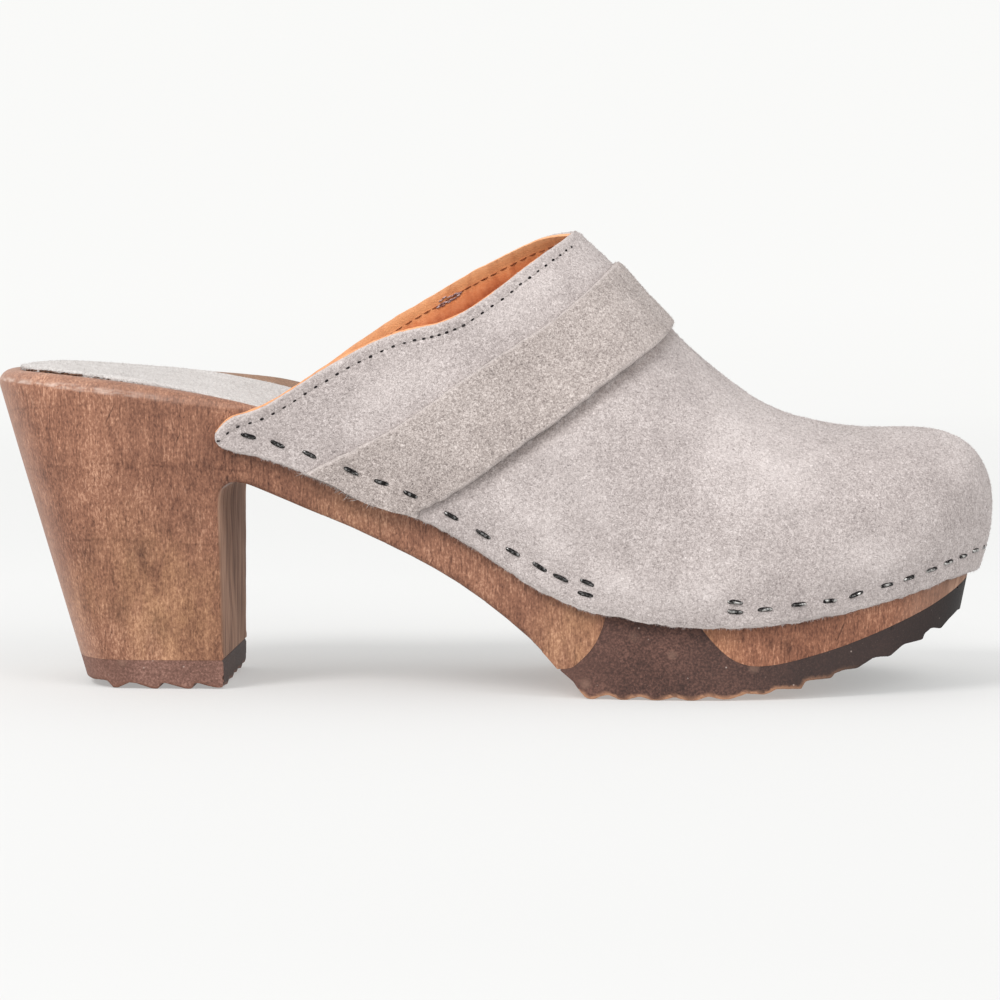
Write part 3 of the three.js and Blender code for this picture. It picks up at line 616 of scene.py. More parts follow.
def carve(box, h, profile, edge_r, rim=True):
    """The solid inside the sole's outline, under the footbed (if rim) and inside a side-view profile.
    edge_r(x, z) is the rounding where the profile's cut meets the side walls; at 0 the edge is kept crisp."""
    lo, hi = np.array(box[0], float), np.array(box[1], float)
    n = np.ceil((hi - lo) / h).astype(int) + 1
    xs, ys, zs = (lo[k] + h * np.arange(n[k]) for k in range(3))
    X, Y, Z = xs[:, None, None], ys[None, :, None], zs[None, None, :]
    F = outline_f(*np.broadcast_arrays(X, Y, Z)).astype(np.float32)
    g = np.gradient(F, h)
    a = F / np.maximum(np.sqrt(g[0] ** 2 + g[1] ** 2 + g[2] ** 2), 1e-4)
    rim_r = mix(RIM_R_HEEL, RIM_R_FRONT, smooth((X - 44) / 34))
    if rim:
        bz = bed_z(X[..., 0], Y[..., 0])[..., None]
        gx, gy = np.gradient(bz[..., 0], h)
        b = (Z - bz) / np.sqrt(1 + np.clip(gx ** 2 + gy ** 2, 0, 2))[..., None]
        a = round_and(a, b, rim_r)
    c2 = poly_sdf(*np.broadcast_arrays(xs[:, None], zs[None, :]), profile)
    f = round_and(a, c2[:, None, :], edge_r(xs[:, None], zs[None, :])[:, None, :])
    v, ijk, quads = surface_net(f, lo, h)

    def wall(p):
        d = outline_d(p[:, 0], p[:, 1], p[:, 2])
        if rim:
            d = round_and(d, bed_d(p[:, 0], p[:, 1], p[:, 2]), mix(RIM_R_HEEL, RIM_R_FRONT, smooth((p[:, 0] - 44) / 34)))
        return d

    def cut(p):
        return poly_sdf(p[:, 0], p[:, 2], profile)

    def whole(p):
        return round_and(wall(p), cut(p), edge_r(p[:, 0], p[:, 2]))

    def pull(p, fun, steps):
        for _ in range(steps):
            f0 = fun(p)
            e = 0.02
            g = np.stack([(fun(p + e * np.eye(3)[k]) - f0) / e for k in range(3)], 1)
            step = f0[:, None] * g / np.maximum((g * g).sum(1), 0.05)[:, None]
            p = p - np.clip(step, -0.4 * h, 0.4 * h)
        return p

    near = np.abs(whole(v)) < h
    out = v.copy()
    out[near] = pull(v[near], whole, 2)
    # crisp edges: a cell that the edge runs through has its point on the edge
    crisp = (edge_r(v[:, 0], v[:, 2]) <= 0) & (np.abs(wall(v)) < h) & (np.abs(cut(v)) < h)
    if crisp.any():
        p = v[crisp]
        for _ in range(5):
            p = pull(pull(p, wall, 1), cut, 1)
        centre = lo + h * (ijk[crisp] + 0.5)
        ok = (np.abs(p - centre) <= 0.74 * h).all(1) & (np.abs(wall(p)) < 0.08) & (np.abs(cut(p)) < 0.08)
        w = np.where(crisp)[0][ok]
        out[w] = p[ok]
    return out, quads


# =====================================================================================================
# Materials
# =====================================================================================================
class Graph:
    """A short way to write node graphs."""

    def __init__(self, name):
        self.m = bpy.data.materials.new(name)
        self.m.use_nodes = True
        self.t = self.m.node_tree
        self.t.nodes.clear()
        self.out = self.t.nodes.new("ShaderNodeOutputMaterial")
        self.bsdf = self.t.nodes.new("ShaderNodeBsdfPrincipled")
        self.t.links.new(self.bsdf.outputs[0], self.out.inputs[0])
        tc = self.t.nodes.new("ShaderNodeTexCoord")
        self.mm = self.vec("MULTIPLY", tc.outputs["Object"], (1000, 1000, 1000))

    def link(self, value, socket):
        if isinstance(value, (int, float)):
            socket.default_value = value
        elif isinstance(value, (tuple, list)):
            socket.default_value = tuple(value) + ((1,) if socket.type == "RGBA" and len(value) == 3 else ())
        else:
            self.t.links.new(value, socket)

    def vec(self, op, a, b=(0, 0, 0)):
        n = self.t.nodes.new("ShaderNodeVectorMath")
        n.operation = op
        self.link(a, n.inputs[0])
        self.link(b, n.inputs[1])
        return n.outputs[0]

    def math(self, op, a, b=0.0, c=0.0, clamp=False):
        n = self.t.nodes.new("ShaderNodeMath")
        n.operation = op
        n.use_clamp = clamp
        self.link(a, n.inputs[0])
        self.link(b, n.inputs[1])
        self.link(c, n.inputs[2])
        return n.outputs[0]

    def noise(self, scale, detail=2, rough=0.5, stretch=None, distortion=0.0, vector=None, out="Fac"):
        n = self.t.nodes.new("ShaderNodeTexNoise")
        n.noise_dimensions = "3D"
        v = vector or self.mm
        if stretch:
            v = self.vec("MULTIPLY", v, stretch)
        self.link(v, n.inputs["Vector"])
        self.link(scale, n.inputs["Scale"])
        self.link(detail, n.inputs["Detail"])
        self.link(rough, n.inputs["Roughness"])
        self.link(distortion, n.inputs["Distortion"])
        return n.outputs[out]

    def voronoi(self, scale, feature="F1", stretch=None, vector=None, randomness=1.0, out="Distance"):
        n = self.t.nodes.new("ShaderNodeTexVoronoi")
        n.feature = feature
        v = vector or self.mm
        if stretch:
            v = self.vec("MULTIPLY", v, stretch)
        self.link(v, n.inputs["Vector"])
        self.link(scale, n.inputs["Scale"])
        self.link(randomness, n.inputs["Randomness"])
        return n.outputs[out]

    def ramp(self, fac, *stops, mode="LINEAR"):
        n = self.t.nodes.new("ShaderNodeValToRGB")
        n.color_ramp.interpolation = mode
        while len(n.color_ramp.elements) < len(stops):
            n.color_ramp.elements.new(0.5)
        for e, (pos, col) in zip(n.color_ramp.elements, stops):
            e.position = pos
            e.color = (col, col, col, 1) if isinstance(col, (int, float)) else tuple(col) + (1,)
        self.link(fac, n.inputs[0])
        return n.outputs[0]

    def range(self, v, a, b, c=0.0, d=1.0):
        n = self.t.nodes.new("ShaderNodeMapRange")
        n.clamp = True
        for s, x in zip(n.inputs[:5], (v, a, b, c, d)):
            self.link(x, s)
        return n.outputs[0]

    def blend(self, mode, fac, a, b):
        n = self.t.nodes.new("ShaderNodeMix")
        n.data_type = "RGBA"
        n.blend_type = mode
        self.link(fac, n.inputs["Factor"])
        self.link(a, n.inputs[6])
        self.link(b, n.inputs[7])
        return n.outputs[2]

    def attribute(self, name):
        n = self.t.nodes.new("ShaderNodeAttribute")
        n.attribute_name = name
        return n.outputs["Fac"]

    def normal(self):
        n = self.t.nodes.new("ShaderNodeNewGeometry")
        return n.outputs["Normal"]

    def axis(self, vector, k):
        n = self.t.nodes.new("ShaderNodeSeparateXYZ")
        self.link(vector, n.inputs[0])
        return n.outputs[k]

    def bump(self, height, strength, distance_mm, normal=None):
        n = self.t.nodes.new("ShaderNodeBump")
        self.link(strength, n.inputs["Strength"])
        self.link(distance_mm / 1000, n.inputs["Distance"])
        self.link(height, n.inputs["Height"])
        if normal is not None:
            self.link(normal, n.inputs["Normal"])
        return n.outputs[0]

    def set(self, **kw):
        names = {"color": "Base Color", "rough": "Roughness", "metal": "Metallic", "normal": "Normal", "spec": "Specular IOR Level", "sheen": "Sheen Weight", "sheen_rough": "Sheen Roughness",
                 "sheen_tint": "Sheen Tint", "coat": "Coat Weight", "coat_rough": "Coat Roughness", "sss": "Subsurface Weight"}
        for k, v in kw.items():
            self.link(v, self.bsdf.inputs[names[k]])
        return self.m


def lin(r, g, b):
    return tuple(((c / 255 + 0.055) / 1.055) ** 2.4 if c > 10 else c / 255 / 12.92 for c in (r, g, b))


def suede_material(name, base, dark, light, raw, mottle=1.0):
    g = Graph(name)
    big = g.noise(0.03, 3, 0.55)
    mid = g.noise(0.12, 3, 0.6)
    nap = g.noise(1.5, 2, 0.6, distortion=1.1)
    fine = g.noise(3.0, 2, 0.65)
    shade = g.math("ADD", g.math("MULTIPLY", big, 0.17), g.math("MULTIPLY", mid, 0.13))
    shade = g.math("ADD", shade, g.math("MULTIPLY", nap, 0.52 * mottle))
    shade = g.math("ADD", shade, g.math("MULTIPLY", fine, 0.5 * mottle))
    mean = 0.15 + 0.51 * mottle
    col = g.ramp(g.range(shade, mean - 0.26, mean + 0.26), (0.0, dark), (0.5, base), (1.0, light))
    # paler where the suede stands out: rubbed, and a painted highlight
    col = g.blend("MIX", g.math("MULTIPLY", g.attribute("worn"), 0.5, clamp=True), col, light)
    # painted shadow: darker suede in the strap's lee, from the shade attribute
    col = g.blend("MULTIPLY", g.attribute("shade"), col, (0.46, 0.41, 0.38))
    col = g.blend("MIX", g.math("MULTIPLY", g.attribute("rim"), 0.75, clamp=True), col, raw)
    b1 = g.bump(g.noise(1.45, 3, 0.62, distortion=1.1), 0.85, 0.4)
    b2 = g.bump(g.noise(3.4, 2, 0.6), 0.7, 0.16, b1)
    return g.set(color=col, rough=0.95, normal=b2, spec=0.1, sheen=0.2, sheen_rough=0.45, sheen_tint=(0.95, 0.93, 0.92))


SUEDE = suede_material("suede", lin(177, 167, 164), lin(118, 109, 107), lin(224, 215, 212), lin(200, 191, 187), 1.0)
SUEDE_STRAP = suede_material("suede_strap", lin(169, 158, 153), lin(106, 97, 94), lin(216, 206, 201), lin(200, 191, 187), 1.25)
SUEDE_INSOLE = suede_material("suede_insole", lin(194, 189, 186), lin(144, 138, 134), lin(226, 222, 219), lin(208, 203, 199), 1.15)


def lining_material():
    g = Graph("lining")
    tone = g.math("ADD", g.math("MULTIPLY", g.noise(0.06, 3), 0.6), g.math("MULTIPLY", g.noise(0.7, 3), 0.4))
    col = g.ramp(g.range(tone, 0.3, 0.7), (0.0, lin(180, 97, 52)), (0.5, lin(208, 127, 77)), (1.0, lin(230, 158, 108)))
    # paler where it is turned at the collar: its cut edge and a painted highlight; darker and browner deeper in the
    # shoe: painted shade and dirt
    deep = g.attribute("deep")
    col = g.blend("MIX", g.range(deep, 0.17, 0.08, 0.0, 0.6), col, lin(240, 173, 122))
    col = g.blend("MIX", g.range(deep, 0.05, 0.0, 0.0, 0.45), col, lin(238, 184, 140))
    col = g.blend("MULTIPLY", g.math("MULTIPLY", g.range(deep, 0.13, 0.5, 0.0, 1.0), g.range(deep, 0.5, 0.95, 1.0, 0.3)), col, lin(204, 104, 58))
    col = g.blend("MULTIPLY", g.range(g.noise(0.35, 3, 0.6, stretch=(1.0, 1.0, 0.5)), 0.5, 0.66, 0.0, 0.25), col, lin(176, 120, 96))
    pores = g.voronoi(2.2)
    b = g.bump(g.math("ADD", g.math("MULTIPLY", pores, 0.6), g.noise(3.0, 3)), 0.5, 0.16)
    return g.set(color=col, rough=0.62, normal=b, spec=0.3)


LINING = lining_material()


def wood_material():
    g = Graph("wood")
    p = g.mm
    x, z = g.axis(p, 0), g.axis(p, 2)
    lean = g.vec("ADD", p, g.vec("MULTIPLY", z, (0.22, 0, 0)))
    lean2 = g.vec("ADD", p, g.vec("MULTIPLY", z, (-0.5, 0, 0)))
    # a sanded and stained block: fine specks drawn out up and down, soft streaks, blotches
    speck = g.noise(1.0, 3, 0.6, stretch=(2.0, 1.9, 1.15), distortion=0.4)
    fibre = g.noise(1.0, 2, 0.6, stretch=(2.7, 1.4, 0.3))
    streak = g.noise(1.0, 2, 0.5, stretch=(0.34, 0.4, 0.035))
    blot = g.noise(0.05, 3, 0.6)
    blot2 = g.noise(0.17, 2, 0.6, stretch=(1, 1, 0.6))
    tone = g.math("ADD", g.math("MULTIPLY", speck, 0.74), g.math("MULTIPLY", fibre, 0.4))
    tone = g.math("ADD", tone, g.math("MULTIPLY", streak, 0.22))
    tone = g.math("ADD", tone, g.math("MULTIPLY", blot, 0.4))
    tone = g.math("ADD", tone, g.math("MULTIPLY", blot2, 0.24))
    tone = g.math("MULTIPLY", tone, 0.79)
    col = g.ramp(g.range(tone, 0.55, 1.03), (0.0, lin(76, 47, 35)), (0.3, lin(112, 73, 56)), (0.6, lin(143, 99, 77)), (1.0, lin(198, 152, 125)))
    # year rings cut nearly level: thin, broken, a little darker, bowed
    bow = g.math("MULTIPLY", g.math("POWER", g.math("ABSOLUTE", g.math("ADD", x, 84.0)), 2.0), 0.0028)
    level = g.math("ADD", g.math("ADD", z, bow), g.math("MULTIPLY", g.math("SUBTRACT", g.noise(0.06, 2), 0.5), 3.0))
    level = g.math("ADD", level, g.math("MULTIPLY", g.math("SUBTRACT", g.noise(0.9, 2), 0.5), 0.5))
    lines = None
    for height, strength in ((68.6, 0.55), (54.2, 0.6), (36.0, 0.6), (21.5, 0.3), (61.5, 0.2), (45.0, 0.2)):
        d = g.math("ABSOLUTE", g.math("SUBTRACT", level, height))
        one = g.math("MULTIPLY", g.range(d, 0.42, 0.08), strength)
        lines = one if lines is None else g.math("MAXIMUM", lines, one)
    lines = g.math("MULTIPLY", lines, g.range(g.noise(0.16, 2), 0.42, 0.6, 0.12, 1.0))
    # only the heel block shows them
    lines = g.math("MULTIPLY", lines, g.range(x, -52, -60))
    col = g.blend("MULTIPLY", g.math("MULTIPLY", lines, 0.6), col, lin(134, 96, 80))
    # fine dark marks along the grain, and slanting scratches, dark and light
    marks = g.range(g.noise(1.0, 2, 0.55, stretch=(1.7, 1.4, 0.17)), 0.6, 0.7)
    col = g.blend("MULTIPLY", g.math("MULTIPLY", marks, 0.5), col, lin(120, 84, 68))
    dark = g.math("MULTIPLY", g.range(g.noise(1.0, 1, 0.5, stretch=(1.5, 1.2, 0.13), vector=lean2), 0.66, 0.74), g.range(g.noise(0.08, 2), 0.46, 0.6))
    col = g.blend("MULTIPLY", g.math("MULTIPLY", dark, 0.65), col, lin(112, 78, 64))
    pale = g.math("MULTIPLY", g.range(g.noise(1.0, 1, 0.5, stretch=(2.3, 1.6, 0.3), vector=lean), 0.64, 0.74), g.range(g.noise(0.1, 2), 0.4, 0.6, 0.3, 1.0))
    col = g.blend("MIX", g.math("MULTIPLY", pale, 0.4), col, lin(196, 150, 124))
    pores = g.range(g.noise(1.0, 1, 0.5, stretch=(3.4, 2.6, 1.2)), 0.64, 0.75)
    col = g.blend("MULTIPLY", g.math("MULTIPLY", pores, 0.6), col, lin(108, 74, 60))
    # paler and more orange low at the front of the heel and above the flex gap
    for cx, cz, r, k in ((-74.0, 18.0, 17.0, 0.75), (-84.0, 30.0, 14.0, 0.35), (22.0, 14.0, 13.0, 0.65), (-32.0, 46.0, 14.0, 0.25), (51.0, 13.0, 10.0, 0.55), (-97.0, 22.0, 8.0, 0.35)):
        dx, dz = g.math("SUBTRACT", x, cx), g.math("SUBTRACT", z, cz)
        d = g.math("SQRT", g.math("ADD", g.math("MULTIPLY", dx, dx), g.math("MULTIPLY", g.math("MULTIPLY", dz, dz), 0.6)))
        near = g.math("MULTIPLY", g.range(d, r, 0.0), g.range(g.noise(0.25, 3, stretch=(1, 1, 0.5)), 0.3, 0.62, 0.3, 1.0))
        col = g.blend("MIX", g.math("MULTIPLY", near, k), col, g.ramp(g.range(tone, 0.6, 1.0), (0.0, lin(116, 76, 52)), (1.0, lin(214, 166, 124))))
    # knocks and dirt: a few darker smudges
    for cx, cz, r, k in ((-82.3, 32.5, 4.5, 0.55), (-88.0, 18.5, 4.0, 0.5), (-79.0, 14.5, 5.0, 0.4), (-95.5, 33.0, 5.0, 0.35), (70.0, 12.3, 2.4, 0.9), (66.5, 13.2, 1.5, 0.5), (-70.0, 41.0, 4.0, 0.4)):
        dx, dz = g.math("SUBTRACT", x, cx), g.math("SUBTRACT", z, cz)
        d = g.math("SQRT", g.math("ADD", g.math("MULTIPLY", dx, dx), g.math("MULTIPLY", g.math("MULTIPLY", dz, dz), 0.5)))
        near = g.math("MULTIPLY", g.range(d, r, 0.0), g.range(g.noise(0.8, 3), 0.35, 0.6, 0.3, 1.0))
        col = g.blend("MULTIPLY", g.math("MULTIPLY", near, k), col, lin(96, 66, 56))
    # the heel's rounded back is paler and greyer, partly painted light where it curves away from the lamps; the rim
    # round the footbed gets a painted highlight, broken up by wear
    back = g.range(g.math("SUBTRACT", g.math("ADD", x, 120.1), g.math("MULTIPLY", g.math("SUBTRACT", 73.0, z), 0.3)), 9.0, 0.5)
    col = g.blend("MIX", g.math("MULTIPLY", back, 0.4), col, lin(176, 140, 122))
    # painted light: brighter towards the tail, where the back curves away from the lamps
    col = g.blend("MULTIPLY", g.range(x, -86.0, -106.0, 0.0, 1.0), col, (1.17, 1.17, 1.18))
    col = g.blend("MULTIPLY", g.range(x, 20.0, 40.0), col, (1.08, 1.0, 0.94))
    # painted highlight on the rim's upward-facing band, picked out by the normal and broken up by wear; the far side's
    # band turns darker olive-brown
    top = g.math("MULTIPLY", g.range(g.math("ADD", g.axis(g.normal(), 2), g.math("MULTIPLY", g.math("SUBTRACT", g.noise(0.4, 2), 0.5), 0.1)), 0.16, 0.28), g.range(z, 42, 60))
    other = g.math("MULTIPLY", top, g.range(g.axis(p, 1), -8.0, 12.0))
    top = g.math("MULTIPLY", top, g.range(g.axis(p, 1), 8.0, -14.0))
    wear_and_highlight = g.range(g.noise(1.0, 3, 0.6, stretch=(0.3, 0.5, 1.2)), 0.34, 0.68, 0.45, 1.0)
    wear_and_highlight = g.math("MULTIPLY", wear_and_highlight, g.range(x, -60.0, -95.0, 0.5, 1.0))
    col = g.blend("MIX", g.math("MULTIPLY", g.math("MULTIPLY", top, wear_and_highlight), 0.32), col, lin(182, 146, 126))
    # painted sheen: a whitish line along the rim's lower edge towards the tail
    rim_painted_sheen = g.math("MULTIPLY", g.range(g.axis(g.normal(), 2), 0.14, 0.26), g.range(g.axis(g.normal(), 2), 0.62, 0.4))
    rim_painted_sheen = g.math("MULTIPLY", g.math("MULTIPLY", rim_painted_sheen, g.range(x, -72.0, -96.0)), g.range(g.noise(1.0, 3, 0.6, stretch=(0.25, 0.4, 1.0)), 0.4, 0.62))
    col = g.blend("MIX", g.math("MULTIPLY", g.math("MULTIPLY", rim_painted_sheen, g.range(z, 42, 60)), 0.5), col, lin(216, 196, 184))
    col = g.blend("MIX", g.math("MULTIPLY", other, 0.55), col, lin(128, 104, 80))
    # faces across the shoe, such as the heel breast, show duller wavy figure
    face = g.range(g.axis(g.normal(), 0), 0.6, 0.9)
    wav = g.vec("ADD", g.vec("MULTIPLY", p, (0.3, 0.42, 0.06)), g.vec("MULTIPLY", g.noise(0.028, 1, out="Color"), (0, 9, 0)))
    figure = g.noise(0.8, 2, 0.6, vector=wav)
    dull = g.ramp(g.range(figure, 0.36, 0.64), (0.0, lin(118, 89, 73)), (0.4, lin(143, 111, 92)), (1.0, lin(170, 136, 115)))
    col = g.blend("MIX", g.math("MULTIPLY", face, 0.9), col, dull)
    h = g.math("ADD", g.math("MULTIPLY", speck, 0.9), g.math("MULTIPLY", fibre, 0.4))
    b = g.bump(h, 0.6, 0.18)
    b = g.bump(g.noise(2.6, 2, stretch=(1.2, 1.2, 0.8)), 0.45, 0.08, b)
    rough = g.math("MAXIMUM", g.range(g.math("ADD", fibre, blot2), 0.6, 1.4, 0.56, 0.44), g.math("MULTIPLY", face, 0.85))
    return g.set(color=col, rough=rough, normal=b, spec=0.32)


WOOD = wood_material()


def rubber_material(name, base, dark, light, lip_highlight, toe=None):
    g = Graph(name)
    x, z = g.axis(g.mm, 0), g.axis(g.mm, 2)
    n = g.math("ADD", g.math("MULTIPLY", g.noise(0.1, 3), 0.4), g.math("MULTIPLY", g.noise(1.8, 3, 0.7), 1.1))
    n = g.math("SUBTRACT", n, 0.25)
    col = g.ramp(g.range(n, 0.3, 0.7), (0.0, dark), (0.5, base), (1.0, light))
    if toe:
        front = g.range(g.math("ADD", x, g.math("MULTIPLY", g.math("SUBTRACT", g.noise(0.07, 2), 0.5), 24.0)), 42.0, 84.0)
        col = g.blend("MIX", g.math("MULTIPLY", front, 0.85), col, toe)
        rear = g.range(x, 34.0, 20.0)
        col = g.blend("MIX", g.math("MULTIPLY", rear, 0.3), col, light)
    speck = g.range(g.voronoi(0.55), 0.14, 0.06)
    keep = g.range(g.voronoi(0.55, out="Color"), 0.76, 0.78)
    col = g.blend("MIX", g.math("MULTIPLY", g.math("MULTIPLY", speck, keep), 0.62), col, lin(196, 178, 168))
    dust = g.range(g.noise(3.2, 2, 0.6), 0.66, 0.78)
    col = g.blend("MIX", g.math("MULTIPLY", dust, 0.35), col, lin(170, 146, 134))
    # painted shade: the faces across the shoe, which lie in the dark of the arch, are darkened
    col = g.blend("MULTIPLY", g.range(g.axis(g.normal(), 0), 0.6, 0.9, 0.0, 0.92), col, lin(106, 94, 90))
    blot = g.math("MULTIPLY", g.range(g.voronoi(0.14), 0.24, 0.1), g.range(g.noise(0.05, 1), 0.5, 0.6))
    col = g.blend("MIX", g.math("MULTIPLY", blot, 0.5), col, lin(150, 118, 102))
    # painted highlight: faces looking down along the tread's lower edges take the lighter lip colour
    down = g.range(g.axis(g.normal(), 2), -0.08, -0.4)
    if toe:
        down = g.math("MULTIPLY", down, g.range(x, 88, 64))
    col = g.blend("MIX", g.math("MULTIPLY", down, 0.9), col, lip_highlight)
    b = g.bump(g.noise(1.9, 3, 0.6), 0.5, 0.16)
    return g.set(color=col, rough=0.66, normal=b, spec=0.3)


RUBBER = rubber_material("outsole_rubber", lin(80, 55, 48), lin(54, 37, 33), lin(112, 80, 70), lin(188, 140, 110), lin(52, 42, 40))
RUBBER_HEEL = rubber_material("heel_rubber", lin(120, 87, 77), lin(86, 61, 53), lin(156, 119, 106), lin(122, 84, 69))


def steel_material():
    g = Graph("staple_steel")
    # painted glints: bright spots in the dark steel, and a painted reflection on the staples towards the toe
    n = g.noise(1.4, 2)
    col = g.ramp(g.range(n, 0.35, 0.65), (0.0, (0.012, 0.011, 0.011)), (0.55, (0.045, 0.043, 0.042)), (1.0, (0.24, 0.235, 0.23)))
    painted_glint = g.math("MULTIPLY", g.range(g.axis(g.mm, 0), 45.0, 65.0), g.range(g.noise(0.8, 1), 0.5, 0.62))
    col = g.blend("MIX", painted_glint, col, (0.5, 0.49, 0.47))
    return g.set(color=col, rough=0.26, metal=1.0, normal=g.bump(g.noise(3.0), 0.3, 0.06))


STEEL = steel_material()


def thread_material(name, a, b):
    g = Graph(name)
    col = g.ramp(g.range(g.noise(1.1, 2), 0.35, 0.65), (0.0, a), (1.0, b))
    return g.set(color=col, rough=0.9, spec=0.15, normal=g.bump(g.noise(6.0, 1), 0.4, 0.05))


THREAD = thread_material("thread", lin(138, 130, 127), lin(172, 164, 160))
# painted shade: near-black pieces in the needle holes and in the slits round the staples stand for the shade in them
HOLE_SHADE = thread_material("needle_hole", lin(20, 18, 19), lin(40, 36, 37))
THREAD_TAN = thread_material("thread_brown", lin(112, 58, 36), lin(160, 92, 58))
THREAD_TACK = thread_material("thread_tack", lin(120, 84, 84), lin(196, 170, 168))
GLUE_AND_SHADE = thread_material("glue", lin(34, 26, 23), lin(116, 86, 70))

# =====================================================================================================
# Wood and rubber
# =====================================================================================================
FINE = 1.0
JOINT = 0.03
shank, gap_rear, gap_front = flowing(SHANK), flowing(GAP_REAR), flowing(GAP_FRONT)
pairs = lambda t: np.stack([t["x"], t["z"]], 1)


def rear_r(x, z):
    x, z = np.broadcast_arrays(x, z)
    r = 1.25 * smooth((z - 7.6) / 3.0) * (1 - smooth((x - 129.5) / 5.0))
    return np.where(r < 0.2, 0.0, r)


rear_profile = np.vstack([[-10, 110], [-10, LIFT_H], shank, gap_rear[1:], [GAP_REAR["x"][-1], 110]])
v, q = carve(((-1.6, -42.5, 5.4), (150.5, 42.5, 78.6)), 0.84 * FINE, rear_profile, rear_r)
wood_rear = make_object("wood_heel_and_shank", v, [q], WOOD, sharp=40)

front_profile = np.vstack([gap_front, [260, 27.2], [260, 110], [GAP_FRONT["x"][0], 110]])
v, q = carve(((165, -43.0, 6.6), (236.2, 47.2, 38.5)), 0.76 * FINE, front_profile, lambda x, z: 0.0 * x * z)
wood_front = make_object("wood_toe", v, [q], WOOD, sharp=40)

outsole_profile = np.vstack([[140.6, 4.1], pairs(FORE_TREAD), [260, 30], shifted(gap_front, -JOINT)[::-1], shifted(gap_rear, -JOINT)[1:][::-1], [137.2, 7.0 - JOINT]])


def rubber_r(x, z):
    x, z = np.broadcast_arrays(x, z)
    low = np.interp(x, FORE_TREAD["x"], np.interp(FORE_TREAD["x"], [140, 180, 235], [0, 1, 18]))
    r = 0.55 * (1 - smooth((z - low - 1.6) / 1.2)) * (1 - smooth((x - 205) / 15))
    return np.where(r < 0.15, 0.0, r)


v, q = carve(((135.8, -43.0, -1.4), (236.2, 47.2, 33.5)), 0.68 * FINE, outsole_profile, rubber_r)
outsole = make_object("rubber_outsole", v, [q], RUBBER, sharp=40)

lift_profile = np.vstack([[10, LIFT_H - JOINT], [10, 1.9], pairs(HEEL_TREAD), [BREAST_X, 0], [BREAST_X, LIFT_H - JOINT]])
v, q = carve(((16.5, -27.5, -1.2), (58.2, 29.5, 8.2)), 0.56 * FINE, lift_profile, lambda x, z: np.where(z + 0 * x < 3.2, 0.35, 0.0), rim=False)
# its front face is worn to ragged steps at the lower edge, more so towards the inner side
LIFT_WEAR = {"y": [-27.5, -22.5, -21.7, -12.5, -11.5, -2.0, -1.2, 6.5, 7.2, 16.0, 16.8, 24.0, 29.5],
             "z": [0.0, 0.0, 0.75, 0.2, 1.05, 0.5, 1.4, 0.85, 1.5, 0.7, 1.55, 1.3, 2.1]}
worn = smooth((v[:, 0] - BREAST_X + 3.4) / 3.0) * (1 - smooth((v[:, 2] - 0.3) / 3.4))
v[:, 2] += worn * np.interp(v[:, 1], LIFT_WEAR["y"], LIFT_WEAR["z"])
heel_lift = make_object("rubber_heel_lift", v, [q], RUBBER_HEEL, sharp=40)

# =====================================================================================================
# Upper: an outer shell of suede and an inner shell of lining
# =====================================================================================================
SUEDE_T, LINING_T = 1.35, 0.8
STITCH_IN, LINING_IN = 2.7, 2.5  # the seam's distance from the collar, outside and inside
# Staples on each side: place on the sole's outline and height above the suede's lower edge.
STAPLES = table("""x up
64.1 4.4
70.9 4.6
78.5 4.9
88.6 5.6
95.9 5.8
102.9 5.2
112.3 4.7
120.0 5.1
126.9 5.6
133.3 6.0
138.1 5.7
144.4 6.7
143.9 3.9
177.9 6.3
177.9 4.1
184.7 4.2
192.2 4.4
199.1 4.1
205.0 4.2
211.8 4.7
216.8 4.8
221.9 4.9
225.8 5.2
229.1 5.5
231.8 6.0""")
# Soft dents and swells pressed into the suede, on the outer side: a line in side view from x1, z1 to
# x2, z2, how far it stands out in millimetres and how wide it is.
DENTS = table("""x1 z1 x2 z2 out wide
148 27.5 172 25.5 0.5 3.4
146 33.5 176 31.5 -0.3 3.6
106 80 120 86 -0.5 5.0
122 88 134 97 0.35 3.0
92 70 104 76 0.3 4.5
196 41 206 43 -0.55 6.0
210 36 216 41 -0.45 5.0
203 33 214 32 0.4 4.0
178 58 190 52 0.4 7.0
160 72 172 60 -0.35 6.0
148 50 160 40 -0.35 5.5
128 44 136 36 0.35 4.0
134 58 146 46 0.3 5.0
222 46 227 54 -0.3 5.0
71 62 80 66 -0.25 4.0""")


def gauss(d, s):
    return np.exp(-0.5 * (d / s) ** 2)


def skin_at(x, side, up):
    """The place t on the rib at x that lies up millimetres above the lower edge, along the skin."""
    t = np.linspace(0, 0.5, 160)
    P = skin(np.full(160, x), np.full(160, side), t)
    d = np.concatenate([[0], np.cumsum(np.linalg.norm(np.diff(P, axis=0), axis=1))])
    return float(np.interp(up, d, t))


def staple_places():
    out = []
    for side in (-1.0, 1.0):
        for x, up in zip(STAPLES["x"], STAPLES["up"]):
            out.append((x, side, skin_at(x, side, up)))
    # round the toe, evenly between the last staples of the two sides
    last_x, last_up = STAPLES["x"][-1], STAPLES["up"][-1]
    a = np.linspace(0, 1, 120)
    xs = TOE_X - (TOE_X - last_x) * (2 * np.abs(a - 0.5)) ** 2
    sd = np.where(a < 0.5, -1.0, 1.0)
    P = np.stack([skin(x, q, 0.1) for x, q in zip(xs, sd)])
    d = np.concatenate([[0], np.cumsum(np.linalg.norm(np.diff(P, axis=0), axis=1))])
    n = int(round(d[-1] / 7.3))
    for k in range(1, n):
        f = np.interp(d[-1] * k / n, d, a)
        x, q = float(np.interp(f, a, xs)), -1.0 if f < 0.5 else 1.0
        out.append((x, q, skin_at(x, q, last_up)))
    return out


STAPLED = staple_places()
STAPLE_POINTS = np.array([skin(x, q, t) for x, q, t in STAPLED])


